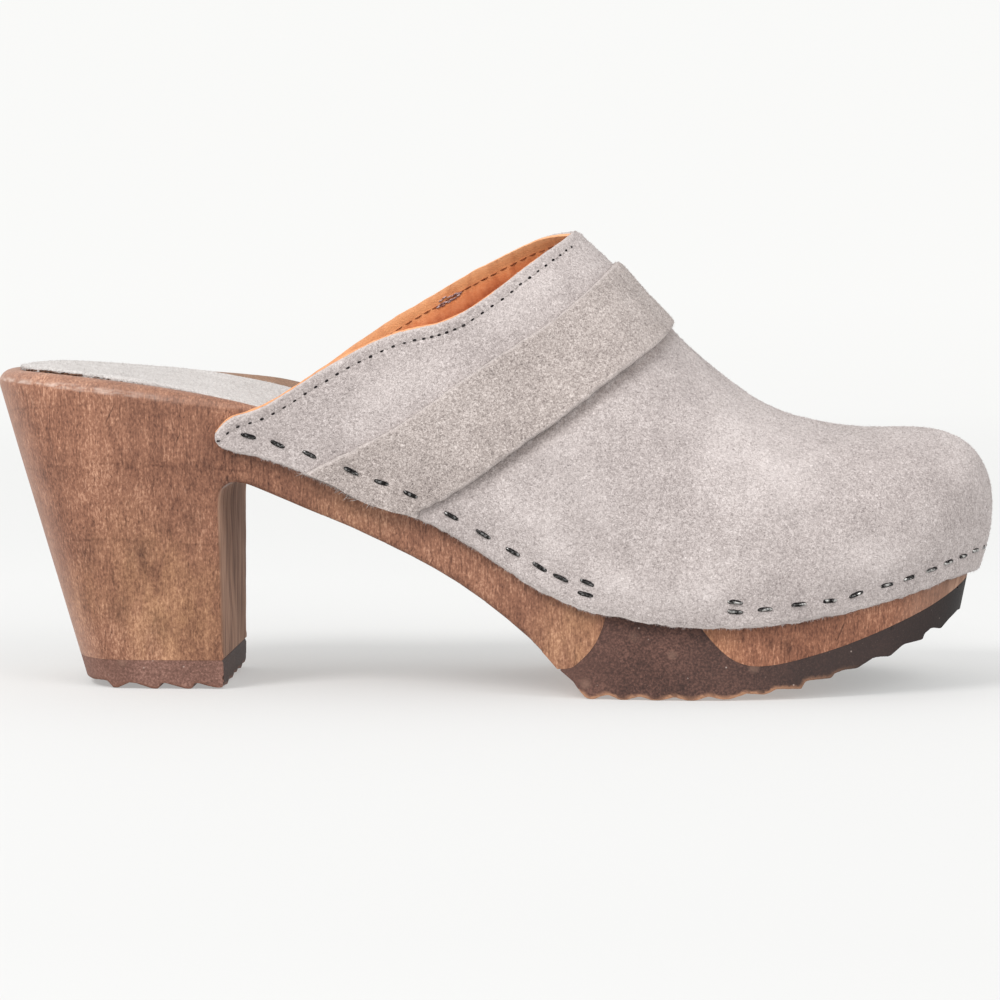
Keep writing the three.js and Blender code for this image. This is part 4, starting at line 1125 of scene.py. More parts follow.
def skin_relief(p, side, edge_mm, collar_mm):
    """How far the suede stands in or out of the last's skin: edge_mm is the distance up from the lower edge,
    collar_mm the distance down from the collar."""
    d = 0.12 * gauss(edge_mm - 9.0, 3.0) - 0.4 * np.clip(1 - edge_mm / 0.7, 0, 1) ** 2
    for c in STAPLE_POINTS:
        r2 = ((p - c) ** 2).sum(-1)
        d = d - 0.34 * np.exp(-r2 / (2 * 1.7 ** 2))
    d += -0.15 * gauss(collar_mm - STITCH_IN, 0.55) + 0.12 * gauss(collar_mm - 1.4, 0.7) - 0.4 * np.clip(1 - collar_mm / 0.6, 0, 1) ** 2
    for k in range(len(DENTS["out"])):
        a, b = np.array([DENTS["x1"][k], DENTS["z1"][k]]), np.array([DENTS["x2"][k], DENTS["z2"][k]])
        q, e = p[..., [0, 2]] - a, b - a
        f = np.clip((q @ e) / (e @ e), 0, 1)
        r = np.linalg.norm(q - f[..., None] * e, axis=-1)
        d = d + DENTS["out"][k] * gauss(r, DENTS["wide"][k]) * np.where(side < 0, 1.0, 0.6)
    d += 0.2 * noise3(p / 19.0, 11) + 0.08 * noise3(p / 5.0, 15) + 0.035 * noise3(p / 1.7, 19)
    return d


def worn_and_highlit_places(p, side):
    """Where the suede stands out it is rubbed paler and given a painted highlight."""
    w = 0 * p[..., 0]
    for k in np.where(DENTS["out"] > 0)[0]:
        a, b = np.array([DENTS["x1"][k], DENTS["z1"][k]]), np.array([DENTS["x2"][k], DENTS["z2"][k]])
        q, e = p[..., [0, 2]] - a, b - a
        f = np.clip((q @ e) / (e @ e), 0, 1)
        r = np.linalg.norm(q - f[..., None] * e, axis=-1)
        w = w + 1.6 * DENTS["out"][k] * gauss(r, DENTS["wide"][k] * 0.85) * np.where(side < 0, 1.0, 0.5)
    return np.clip(w * (0.75 + 0.5 * noise3(p / 6.0, 71)), 0, 1)


def lining_relief(p, side, edge_mm, collar_mm):
    """The lining sinks along the seam and puffs out into the shoe below it; outwards is positive."""
    d = 0.28 * gauss(collar_mm - LINING_IN, 0.5) - 0.9 * gauss(collar_mm - 6.6, 2.2) + 0.12 * noise3(p / 6.0, 51)
    return d * (1 - np.clip(1 - collar_mm / 0.5, 0, 1))


def station_xs(nb, nf):
    k = np.arange(nb) / nb
    back = THROAT_X - (THROAT_X - TAIL_X) * (1 - k) ** 1.35
    front = THROAT_X + (TOE_X - THROAT_X) * np.sin(np.arange(nf + 1) / nf * np.pi / 2)
    return np.concatenate([back, front]), nb


def line_distance(P, line):
    """Distance from each point to a polyline, and where on it the nearest place is."""
    q = P.reshape(-1, 3)
    best, where = np.full(len(q), 1e9), np.zeros(len(q))
    for k in range(len(line) - 1):
        e = line[k + 1] - line[k]
        f = np.clip((q - line[k]) @ e / max(e @ e, 1e-12), 0, 1)
        d = np.linalg.norm(q - line[k] - f[:, None] * e, axis=1)
        near = d < best
        best[near], where[near] = d[near], (k + f)[near]
    return best.reshape(P.shape[:-1]), where.reshape(P.shape[:-1])


def upper_grids(nb, nf, nT):
    """The skin's points, normals and distances, indexed [side, station, j] with j from the lower edge to the
    collar or top line."""
    xs, first = station_xs(nb, nf)
    S = np.array([-1.0, 1.0])[:, None, None]
    top = np.stack([collar_t(xs, -1.0 + 0 * xs), collar_t(xs, 1.0 + 0 * xs)])[:, :, None]
    J = (np.arange(nT + 1) / nT)[None, None, :]
    J = mix(J, 0.5 - 0.5 * np.cos(np.pi * J), 0.45)
    # the rear tips are rounded below too
    tip = np.clip(1 - (xs - TAIL_X) / 5.0, 0, 1)[None, :, None]
    X = xs[None, :, None] + 1.3 * tip * (1 - np.sqrt(1 - 0.985 * np.clip(1 - 2 * J, 0, 1) ** 2)) + 0 * S
    X, S, T = np.broadcast_arrays(X, S, J * top)
    P, N = skin(X, S, T), skin_normal(X, S, T)
    # shared lines: the top line in front of the throat, and the rib at the toe
    for G in (P, N):
        G[:, first:, -1] = G[:, first:, -1].mean(0)
        G[:, -1] = G[:, -1].mean(0)
    N /= np.linalg.norm(N, axis=-1, keepdims=True)
    step = np.linalg.norm(np.diff(P, axis=2), axis=-1)
    edge = np.concatenate([np.zeros_like(step[..., :1]), np.cumsum(step, 2)], 2)
    # the distance from the collar's edge, measured square to it
    collar = np.stack([line_distance(P[s], P[s, :first + 1, -1])[0] for s in (0, 1)])
    return P, N, X, S, edge, collar, first


def shared(d, first):
    d[:, first:, -1] = d[:, first:, -1].mean(0)
    d[:, -1] = d[:, -1].mean(0)
    return d


def upper_shell(name, grids, outer, inner, material, attributes=None):
    """A closed shell between two offsets of the skin."""
    P, N, X, S, edge, collar, first = grids
    A, B = P + N * outer[..., None], P + N * inner[..., None]
    n_s, n_j = A.shape[1], A.shape[2]
    ids = np.arange(2 * n_s * n_j).reshape(2, n_s, n_j)
    ids[1, first:, -1] = ids[0, first:, -1]
    ids[1, -1] = ids[0, -1]
    V = np.concatenate([A.reshape(-1, 3), B.reshape(-1, 3)])
    off = 2 * n_s * n_j
    quads = []

    def quad(a, b, c, d, flip):
        q = np.stack([a.ravel(), b.ravel(), c.ravel(), d.ravel()], 1)
        quads.append(q[:, ::-1] if flip else q)

    for s in (0, 1):
        I = ids[s]
        a, b, c, d = I[:-1, :-1], I[1:, :-1], I[1:, 1:], I[:-1, 1:]
        quad(a, b, c, d, s == 1)
        quad(a + off, d + off, c + off, b + off, s == 1)
        quad(I[:-1, 0], I[:-1, 0] + off, I[1:, 0] + off, I[1:, 0], s == 1)
        quad(I[:first, -1], I[1:first + 1, -1], I[1:first + 1, -1] + off, I[:first, -1] + off, s == 1)
        quad(I[0, :-1], I[0, 1:], I[0, 1:] + off, I[0, :-1] + off, s == 1)
    Q = np.concatenate(quads)
    used = np.unique(Q)
    remap = np.full(len(V), -1)
    remap[used] = np.arange(len(used))
    attributes = {k: np.concatenate([v.ravel(), v.ravel()])[used] for k, v in (attributes or {}).items()}
    return make_object(name, V[used], [remap[Q]], material, sharp=60, attributes=attributes), A, B


def stretch_edges(grids, low_mm, high_mm):
    """Moves the lower edge down and the collar up by these amounts, fading out over a few millimetres."""
    P, N, X, S, edge, collar, first = grids
    down = P[:, :, 0] - P[:, :, 1]
    down /= np.maximum(np.linalg.norm(down, axis=-1, keepdims=True), 1e-9)
    P = P + down[:, :, None, :] * (low_mm[:, :, None] * np.clip(1 - edge / 3.0, 0, 1) ** 2)[..., None]
    up = P[:, :first, -1] - P[:, :first, -3]
    up /= np.maximum(np.linalg.norm(up, axis=-1, keepdims=True), 1e-9)
    k = (high_mm[:, :first, None] * np.clip(1 - collar[:, :first] / 2.0, 0, 1) ** 2)[..., None]
    P[:, :first] = P[:, :first] + up[:, :, None, :] * k
    return (P,) + grids[1:]


def ragged(grids, seed, coarse, fine):
    X, S = grids[2][:, :, 0], grids[3][:, :, 0]
    w = coarse * noise2(X / 3.1 + 50 * (S + 1), 0.3 + 0 * X, seed) + fine * noise2(X / 0.9 + 50 * (S + 1), 1.7 + 0 * X, seed + 1)
    w[:, -1] = w[:, -1].mean()
    return w


# ---- the strap ------------------------------------------------------------------------------------------
def strap_t(x, side, drop):
    full = (skin(x, side, 1.0) + skin_normal(x, side, 1.0) * (GAP + STRAP_T))[..., 2]
    return bisect(lambda m: (skin(x, side, m + 0 * x) + skin_normal(x, side, m + 0 * x) * (GAP + STRAP_T))[..., 2] < full - drop)


def strap_drop(cx, cz, k):
    one = np.ones(1)
    return np.maximum(0, top_z(cx(k)) - cz(k) - (top_z(cx(one)) - cz(one)))


def strap_grid(nV, nW):
    v = np.arange(nV + 1) / nV * np.pi / 2
    k = mix(np.sin(v), 1 - np.cos(v), 0.5)
    out = []
    for side in (-1.0, 1.0):
        x0, x1 = strap_c["rearX"](k), strap_c["frontX"](k)
        sd = side + 0 * k
        t0 = strap_t(x0, sd, strap_drop(strap_c["rearX"], strap_c["rearZ"], k))
        t1 = strap_t(x1, sd, strap_drop(strap_c["frontX"], strap_c["frontZ"], k))
        t0[0] = t1[0] = 0
        t0[-1] = t1[-1] = 1
        out.append((sd, x0, x1, t0, t1, k))
    join = lambda i: np.concatenate([out[0][i], out[1][i][::-1][1:]])
    sd, x0, x1, t0, t1, k = (join(i) for i in range(6))
    w = (np.arange(nW + 1) / nW)[:, None]
    w = mix(w, 0.5 - 0.5 * np.cos(np.pi * w), 0.8)
    X, T, S, K = mix(x0, x1, w), mix(t0, t1, w), sd + 0 * w, k + 0 * w
    P, N = skin(X, S, T), skin_normal(X, S, T)
    m = len(k) // 2
    N[:, m] = (skin_normal(X[:, m], -1.0, T[:, m]) + skin_normal(X[:, m], 1.0, T[:, m])) / 2
    P[:, m] = (skin(X[:, m], -1.0, T[:, m]) + skin(X[:, m], 1.0, T[:, m])) / 2
    N /= np.linalg.norm(N, axis=-1, keepdims=True)
    return X, S, T, K, w + 0 * K, P, N


NB, NF, NT = ((120, 130, 58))
GRID = upper_grids(NB, NF, NT)
FIRST = GRID[-1]
suede_grid = stretch_edges(GRID, ragged(GRID, 5, 0.24, 0.2), ragged(GRID, 7, 0.1, 0.08))
relief = shared(skin_relief(GRID[0], GRID[3], GRID[4], GRID[5]), FIRST)
rim = np.maximum(np.clip(1 - GRID[4] / 0.9, 0, 1), np.where(GRID[2] < THROAT_X, np.clip(1 - GRID[5] / 0.7, 0, 1), 0))
STRAP_GRID = strap_grid(*(((110, 40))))


def strap_painted_shadow():
    """Painted shadow in the strap's lee: a soft darker band along its front edge, strongest half way up."""
    X, S, T, K, W, P, N = STRAP_GRID
    line, k = P[-1], K[-1]
    d, where = line_distance(GRID[0], line)
    at = lambda v: np.interp(where, np.arange(len(line)), v)
    lead = P[-1] - P[-3]
    ahead = ((GRID[0] - np.stack([at(line[:, c]) for c in range(3)], -1)) * np.stack([at(lead[:, c]) for c in range(3)], -1)).sum(-1) > 0
    rise = at(k)
    return np.where(ahead, gauss(d - 0.3, 1.5), 0) * (0.12 + 0.5 * smooth((rise - 0.1) / 0.4) * (1 - 0.35 * smooth((rise - 0.85) / 0.15)))


shade = shared(np.clip(strap_painted_shadow(), 0, 1), FIRST)
upper, UA, UB = upper_shell("suede_upper", suede_grid, relief, np.full_like(relief, -SUEDE_T), SUEDE, {"rim": rim, "shade": shade, "worn": shared(worn_and_highlit_places(GRID[0], GRID[3]), FIRST)})
INNER = upper_grids(*(((90, 70, 36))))
lining_grid = stretch_edges(INNER, np.full(INNER[0].shape[:2], -0.4), 0.45 + 0.9 * ragged(INNER, 9, 0.16, 0.06))
lining_in = shared(lining_relief(INNER[0], INNER[3], INNER[4], INNER[5]), INNER[-1])
flat = np.full_like(lining_in, -SUEDE_T - 0.02)
lining, LA, LB = upper_shell("lining", lining_grid, flat, flat - LINING_T + lining_in, LINING, {"deep": np.clip(INNER[5] / 20.0, 0, 1)})


def sheet_quads(n_i, n_j):
    """Faces of a closed slab between a front grid and a back grid of the same size."""
    I = np.arange(n_i * n_j).reshape(n_i, n_j)
    off = n_i * n_j
    quads = []
    quad = lambda a, b, c, d: quads.append(np.stack([a.ravel(), b.ravel(), c.ravel(), d.ravel()], 1))
    quad(I[:-1, :-1], I[1:, :-1], I[1:, 1:], I[:-1, 1:])
    quad(I[:-1, :-1] + off, I[:-1, 1:] + off, I[1:, 1:] + off, I[1:, :-1] + off)
    quad(I[0, :-1], I[0, 1:], I[0, 1:] + off, I[0, :-1] + off)
    quad(I[-1, :-1], I[-1, :-1] + off, I[-1, 1:] + off, I[-1, 1:])
    quad(I[:-1, 0], I[:-1, 0] + off, I[1:, 0] + off, I[1:, 0])
    quad(I[:-1, -1], I[1:, -1], I[1:, -1] + off, I[:-1, -1] + off)
    return np.concatenate(quads)


def strap_object():
    X, S, T, K, W, P, N = STRAP_GRID
    across = np.gradient(P, axis=0)
    across /= np.linalg.norm(across, axis=-1, keepdims=True)
    along = np.gradient(P, axis=1)
    along /= np.linalg.norm(along, axis=-1, keepdims=True)
    from_end = np.minimum(np.cumsum(np.concatenate([np.zeros_like(P[:, :1, 0]), np.linalg.norm(np.diff(P, axis=1), axis=-1)], 1), 1), 1e9)
    from_end = np.minimum(from_end, from_end[:, -1:] - from_end)
    # cut edges waver a little; the strap's lower ends are ragged, and their front corner is rounded off
    waver = 0.16 * noise2(K * 26 + 40 * (S + 1), 0.2 + 0 * K, 21) + 0.08 * noise2(K * 90 + 40 * (S + 1), 3.2 + 0 * K, 22)
    P = P + across * (waver * (W ** 8 + 0.8 * (1 - W) ** 8))[..., None]
    u = np.clip((W - 0.8) / 0.2, 0, 1)
    corner = (3.3 * (1 - np.sqrt(np.maximum(1 - u * u, 0))) - 1.25 * smooth((W - 0.22) / 0.4)) * np.clip(1 - from_end / 7.0, 0, 1)
    half = np.where(np.arange(P.shape[1])[None, :] < P.shape[1] // 2, 1.0, -1.0)
    rag = (0.34 * noise2(X / 2.1, S * 3.3, 24) + 0.2 * noise2(X / 0.8, S * 5.1, 25)) * np.clip(1 - from_end / 2.5, 0, 1) ** 2
    P = P + along * (half * (corner - rag))[..., None]
    lift = 0.02 + 1.45 * STRAP_STANDOFF * W ** 3 * smooth((K - 0.08) / 0.4) * (1 - 0.72 * smooth((K - 0.72) / 0.25))
    across_mm, out_mm = W * 21.0, (1 - W) * 21.0
    # the rear edge is worn round, the front edge only softened
    round_off = lambda d, r: 1 - np.sqrt(np.maximum(1 - np.clip(1 - d / r, 0, 1) ** 2, 0))
    body = 1.5 - 1.05 * round_off(across_mm, 1.3) - 0.6 * round_off(out_mm, 0.9) - 0.45 * round_off(from_end, 0.8)
    body += 0.16 * noise3(P / 13.0, 31) + 0.07 * noise3(P / 4.5, 35) + 0.03 * noise3(P / 1.6, 38)
    side_part = smooth((K - 0.15) / 0.4) * (1 - 0.7 * smooth((K - 0.75) / 0.2))
    body += (0.25 * gauss(across_mm - 15.5, 3.0) - 0.16 * gauss(across_mm - 8.5, 3.0)) * side_part
    for c in STAPLE_POINTS:
        body = body - 0.36 * np.exp(-((P - c) ** 2).sum(-1) / (2 * 1.7 ** 2))
    front, back = P + N * (lift + body)[..., None], P + N * lift[..., None]
    rim = np.maximum(0.8 * gauss(across_mm - 0.2, 0.28), np.maximum(0.55 * gauss(out_mm, 0.3), 0.8 * gauss(from_end, 0.4)))
    V = np.concatenate([front.reshape(-1, 3), back.reshape(-1, 3)])
    o = make_object("suede_strap", V, [sheet_quads(*X.shape)], SUEDE_STRAP, sharp=60, attributes={"rim": np.concatenate([rim.ravel(), rim.ravel()])})
    return o, front, N, across, along, K


strap, SF, SN, S_ACROSS, S_ALONG, SK = strap_object()


# ---- the insole -----------------------------------------------------------------------------------------
def insole_object():
    nX, nY = ((150, 40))
    u = np.arange(nX + 1) / nX
    x = INSOLE_X0 + (INSOLE_X1 - INSOLE_X0) * (0.5 - 0.5 * np.cos(u * np.pi))
    c = cap((INSOLE_X0 + 24.5 - x) / 24.5, 2.15) * cap((x - 172) / (INSOLE_X1 - 172), 2.0)
    k = np.maximum(c, 0.03)
    m = mid_y(x)
    a, b = m + (-in_lat(x) - m) * k, m + (in_med(x) - m) * k
    j = 0.5 - 0.5 * np.cos(np.arange(nY + 1) / nY * np.pi)
    Y = a[:, None] + (b - a)[:, None] * j
    X = x[:, None] + 0 * Y
    low = bed_z(X, Y) + 0.12
    rel = np.abs((2 * Y - (a + b)[:, None]) / (b - a)[:, None])
    dome = mix(INSOLE_EDGE, 1, (1 - rel ** 3) * smooth((X - INSOLE_X0) / 9))
    edge = np.minimum(np.minimum(Y - a[:, None], b[:, None] - Y), X - INSOLE_X0)
    dome = dome * mix(0.45, 1.0, np.sqrt(np.clip(edge / 1.4, 0, 1)))
    P = np.stack([X, Y, low], -1)
    top = P + np.stack([0 * X, 0 * X, in_thick(X) * dome + 0.08 * noise3(P / 9.0, 41)], -1)
    V = np.concatenate([top.reshape(-1, 3), P.reshape(-1, 3)])
    return make_object("padded_insole", V, [sheet_quads(*X.shape)], SUEDE_INSOLE, sharp=70), top


insole, INSOLE_TOP = insole_object()

# =====================================================================================================
# Staples, seams, raw edges and nap, as joined meshes
# =====================================================================================================
def unit(v):
    return v / np.maximum(np.linalg.norm(v, axis=-1, keepdims=True), 1e-12)


def outer_surface():
    """The suede's and the strap's outer faces, to lay small pieces on."""
    V, F, n = [], [], 0
    for G, flip in ((UA[0], False), (UA[1], True), (SF, False)):
        a, b = G.shape[:2]
        I = np.arange(a * b).reshape(a, b) + n
        q = np.stack([I[:-1, :-1].ravel(), I[1:, :-1].ravel(), I[1:, 1:].ravel(), I[:-1, 1:].ravel()], 1)
        V.append(G.reshape(-1, 3))
        F.append(q)
        n += a * b
    return BVHTree.FromPolygons(np.concatenate(V).tolist(), np.concatenate(F).tolist())


SURFACE = outer_surface()


def settle(p, n, reach=7.0):
    """The point on the suede straight below p, looking from outside along the normal n."""
    hit, nor, _, _ = SURFACE.ray_cast(Vector(p + n * reach), Vector(-n), 2 * reach)
    return (np.array(hit), None) if hit is not None else (p, None)


def swept(paths, across, outwards, half_w, half_h, sides=10):
    """Rods with an elliptical section. paths is (k, m, 3); across and outwards are the section's axes."""
    k, m = paths.shape[:2]
    a = np.arange(sides) / sides * 2 * np.pi
    ring = half_w * np.cos(a)[None, None, :, None] * across[:, :, None] + half_h * np.sin(a)[None, None, :, None] * outwards[:, :, None]
    body = paths[:, :, None] + ring
    V = np.concatenate([body.reshape(k, -1, 3), paths[:, :1], paths[:, -1:]], 1)
    n = V.shape[1]
    I = np.arange(m * sides).reshape(m, sides)
    J = np.roll(I, -1, 1)
    quads = np.stack([I[:-1].ravel(), I[1:].ravel(), J[1:].ravel(), J[:-1].ravel()], 1)
    caps = np.concatenate([np.stack([np.full(sides, m * sides), I[0], J[0]], 1), np.stack([np.full(sides, m * sides + 1), J[-1], I[-1]], 1)])
    shift = (np.arange(k) * n)[:, None, None]
    # outward winding: check against one section
    c = body[0, m // 2].mean(0)
    f = quads[(m // 2) * sides]
    tri = V[0][f[:3]]
    if np.dot(np.cross(tri[1] - tri[0], tri[2] - tri[0]), tri.mean(0) - c) < 0:
        quads, caps = quads[:, ::-1], caps[:, ::-1]
    return V.reshape(-1, 3), [(quads[None] + shift).reshape(-1, 4), (caps[None] + shift).reshape(-1, 3)]


rng = np.random.default_rng(12)


def staples():
    profile = np.array([(-1.82, -1.2), (-1.84, -0.5), (-1.78, -0.05), (-1.62, 0.18), (-1.36, 0.27), (-0.7, 0.29), (0, 0.28), (0.7, 0.29), (1.36, 0.27), (1.62, 0.18), (1.78, -0.05), (1.84, -0.5), (1.82, -1.2)])
    slot = np.array([(-2.16, -0.5), (-2.08, -0.12), (-1.6, -0.02), (-0.8, 0.0), (0, 0.01), (0.8, 0.0), (1.6, -0.02), (2.08, -0.12), (2.16, -0.5)])
    paths, across, outs, slots, slot_across, slot_outs = [], [], [], [], [], []
    for x, side, t in STAPLED:
        p, n = skin(x, side, t), unit(skin_normal(x, side, t))
        x1 = min(x + 0.4, TOE_X - 0.01)
        d = skin(x1, side, t) - skin(x - 0.4, side, t)
        # along the edge, at the same height above it
        d = unit(d)
        ang = rng.normal(0, 0.07)
        c0, _ = settle(p, n)
        e = unit(np.cross(n, d))
        d = unit(d * np.cos(ang) + e * np.sin(ang))
        ends = [settle(c0 + d * k, n, 3.0)[0] for k in (-1.9, 1.9)]
        d = unit(ends[1] - ends[0])
        c = (ends[0] + ends[1]) / 2 * 0.5 + c0 * 0.5
        n = unit(n - d * (n @ d))
        e = np.cross(n, d)
        sink, tip = rng.uniform(-0.14, 0.02), rng.uniform(-0.09, 0.09)
        wave = rng.uniform(-0.07, 0.07, 2)
        bent = wave[0] * np.cos(profile[:, :1] * 1.1) + wave[1] * np.sin(profile[:, :1] * 1.6)
        path = c + profile[:, :1] * rng.uniform(0.93, 1.04) * d + (profile[:, 1:] + sink + tip * profile[:, :1]) * n + bent * e
        low = c + slot[:, :1] * d + slot[:, 1:] * n + rng.uniform(-0.1, 0.1) * e
        slots.append(low)
        slot_across.append(np.tile(e, (len(slot), 1)))
        slot_outs.append(np.cross(unit(np.gradient(low, axis=0)), e))
        tan = unit(np.gradient(path, axis=0))
        paths.append(path)
        across.append(np.tile(e, (len(profile), 1)))
        outs.append(np.cross(tan, e))
    V, F = swept(np.array(paths), np.array(across), np.array(outs), 0.34, 0.24)
    made = make_object("staples", V, F, STEEL, sharp=60)
    # dark slits round each staple: painted shade
    V, F = swept(np.array(slots), np.array(slot_across), np.array(slot_outs), 0.52, 0.08, 8)
    return made, make_object("staple_slots", V, F, HOLE_SHADE, sharp=60)


def seam_line(A, grid, dist):
    """Points at that distance from the collar's edge, from the tail to the top line, for each side."""
    out = []
    for s in (0, 1):
        pts, col = [], grid[5][s]
        for i in range(A.shape[1]):
            c = col[i]
            # closer to the edge at the rear tip
            at = dist * (1 - 0.3 * np.exp(-(A[s, i, -1, 0] - TAIL_X) / 4.0))
            if c[-1] >= at or c.max() < at:
                continue
            j = np.where(c >= at)[0].max()
            f = (c[j] - at) / (c[j] - c[j + 1])
            pts.append(mix(A[s, i, j], A[s, i, j + 1], f))
        out.append(np.array(pts))
    return out


def stitch_length(x):
    """Longer stitches at the ends, short ones round the dip of the collar."""
    return 2.95 - 1.15 * np.exp(-((x - 107.5) / 7.0) ** 2)


def spaced(P, step, start=0.0, between=False):
    """Places along a line, a stitch apart if step is None; between gives the middles of the stitches."""
    d = np.concatenate([[0], np.cumsum(np.linalg.norm(np.diff(P, axis=0), axis=1))])
    if step is None:
        at = [start]
        while at[-1] + 1.0 < d[-1]:
            at.append(at[-1] + float(stitch_length(np.interp(at[-1], d, P[:, 0]))))
        at = np.array([k for k in at if k < d[-1]])
    else:
        at = np.arange(start, d[-1], step)
    if between:
        at = (at[1:] + at[:-1]) / 2
    q = np.stack([np.interp(at, d, P[:, k]) for k in range(3)], 1)
    tan = unit(np.stack([np.interp(at + 0.3, d, P[:, k]) - np.interp(at - 0.3, d, P[:, k]) for k in range(3)], 1))
    return q, tan


def near_normals(A, grid, q, side):
    """The shell's own outward direction at points near its grid."""
    flat, N = A[side].reshape(-1, 3), grid[1][side].reshape(-1, 3)
    return np.stack([N[((flat - p) ** 2).sum(1).argmin()] for p in q])


def seam(A, grid, side, line, step, length, half_w, half_h, inside=False, lift=0.0, jitter=0.03, start=0.6, between=False):
    q, tan = spaced(line, step, start, between)
    n = near_normals(A, grid, q, side) * (-1 if inside else 1)
    n = unit(n - tan * (n * tan).sum(-1, keepdims=True))
    e = np.cross(n, tan)
    k = np.linspace(-0.5, 0.5, 7)
    arch = np.sqrt(np.maximum(1 - (2 * k) ** 2, 0)) * half_h * 1.2
    q = q + rng.normal(0, jitter, (len(q), 1)) * e
    path = q[:, None] + (k * length)[None, :, None] * tan[:, None] + (arch + lift)[None, :, None] * n[:, None]
    rad = np.sqrt(np.maximum(1 - (2 * k) ** 2 * 0.9, 0.05))[None] * rng.uniform(0.8, 1.2, (len(q), 1))
    V, F = swept(path, np.tile(e[:, None], (1, 7, 1)) * rad[..., None], np.tile(n[:, None], (1, 7, 1)) * rad[..., None], half_w, half_h, 8)
    return V, F


def joined(name, parts, material):
    V, F, n = [], {}, 0
    for v, faces in parts:
        V.append(v)
        for f in faces:
            F.setdefault(f.shape[1], []).append(f + n)
        n += len(v)
    return make_object(name, np.concatenate(V), [np.concatenate(f) for f in F.values()], material, sharp=70)


def seams():
    outer = seam_line(UA, GRID, STITCH_IN)
    inner = seam_line(LB, INNER, LINING_IN)
    holes, thread, brown, tack = [], [], [], []
    for s in (0, 1):
        # needle holes as near-black pieces: painted shade
        holes.append(seam(UA, GRID, s, outer[s], None, 1.05, 0.27, 0.1, lift=-0.06, jitter=0.07))
        thread.append(seam(UA, GRID, s, outer[s], None, 1.5, 0.12, 0.12, lift=-0.12, between=True))
        brown.append(seam(LB, INNER, s, inner[s], None, 2.0, 0.16, 0.14, inside=True, lift=0.0, between=True, jitter=0.06))
        # the seam's ends overlap for some stitches, in a paler thread
        d = np.concatenate([[0], np.cumsum(np.linalg.norm(np.diff(inner[s], axis=0), axis=1))])
        m = (d > d[-1] - 42.2) & (d < d[-1] - 34.6)
        for k, off in enumerate((-0.55, -0.1, 0.4)):
            line = inner[s][m] + np.array([0, 0, off])
            tack.append(seam(LB, INNER, s, line, 1.15, 1.3, 0.19, 0.2, inside=True, lift=0.1, start=0.3 + 0.4 * k, jitter=0.25))
    return (joined("needle_holes", holes, HOLE_SHADE), joined("collar_thread", thread, THREAD), joined("lining_thread", brown, THREAD_TAN), joined("lining_tack", tack, THREAD_TACK))


def fibres(name, root, direction, length, width, material):
    """Short tapering fibres, each a closed four-faced spike."""
    d = unit(direction)
    a = unit(np.cross(d, unit(rng.normal(size=d.shape))))
    b = np.cross(d, a)
    base = root - d * 0.15
    ang = np.array([0, 2, 4]) * np.pi / 3
    ring = base[:, None] + width[:, None, None] * (np.cos(ang)[None, :, None] * a[:, None] + np.sin(ang)[None, :, None] * b[:, None])
    V = np.concatenate([ring, (root + d * length[:, None])[:, None]], 1)
    f = np.array([[0, 2, 1], [0, 1, 3], [1, 2, 3], [2, 0, 3]])
    F = (f[None] + (np.arange(len(root)) * 4)[:, None, None]).reshape(-1, 3)
    return make_object(name, V.reshape(-1, 3), [F], material, smooth_shade=False)


def on_grid(A, N, count, weight=None):
    """Random places spread evenly over a grid surface: points, normals and the two grid directions."""
    a, b = A[1:, :-1] - A[:-1, :-1], A[:-1, 1:] - A[:-1, :-1]
    area = np.linalg.norm(np.cross(a, b), axis=-1)
    if weight is not None:
        area = area * weight[:-1, :-1]
    w = area.ravel() / area.sum()
    k = rng.choice(len(w), count, p=w)
    i, j = np.unravel_index(k, area.shape)
    u, v = rng.uniform(size=(count, 1)), rng.uniform(size=(count, 1))
    at = lambda G: mix(mix(G[i, j], G[i + 1, j], u), mix(G[i, j + 1], G[i + 1, j + 1], u), v)
    return at(A), unit(at(N)), unit(a[i, j]), unit(b[i, j])


def nap():
    less = 1.0
    names = []
    for s, word in ((0, "outer"), (1, "inner")):
        count = int((34000 if s == 0 else 9000) * less)
        p, n, du, dv = on_grid(UA[s], GRID[1][s], count)
        lay = unit(rng.normal(size=p.shape) * 0.9 + du * 0.25 - dv * 0.35)
        lay -= n * (lay * n).sum(-1, keepdims=True)
        d = unit(lay) + n * rng.uniform(0.15, 0.9, (count, 1))
        names.append(fibres("nap_" + word, p, d, rng.uniform(0.3, 0.75, count), rng.uniform(0.035, 0.065, count), SUEDE))
    count = int(15000 * less)
    p, n, du, dv = on_grid(SF, SN, count)
    lay = rng.normal(size=p.shape) * 0.9 + du * 0.2
    lay -= n * (lay * n).sum(-1, keepdims=True)
    d = unit(lay) + n * rng.uniform(0.15, 0.9, (count, 1))
    names.append(fibres("nap_strap", p, d, rng.uniform(0.3, 0.75, count), rng.uniform(0.035, 0.065, count), SUEDE_STRAP))
    count = int(8000 * less)
    m = INSOLE_TOP[:96]
    N = np.zeros_like(m) + np.array([0, 0, 1.0])
    p, n, du, dv = on_grid(m, N, count)
    d = rng.normal(size=p.shape) * 0.8 + n * rng.uniform(0.3, 1.0, (count, 1))
    d[:, 2] = np.abs(d[:, 2])
    names.append(fibres("nap_insole", p, d, rng.uniform(0.25, 0.55, count), rng.uniform(0.04, 0.07, count), SUEDE_INSOLE))
    return names


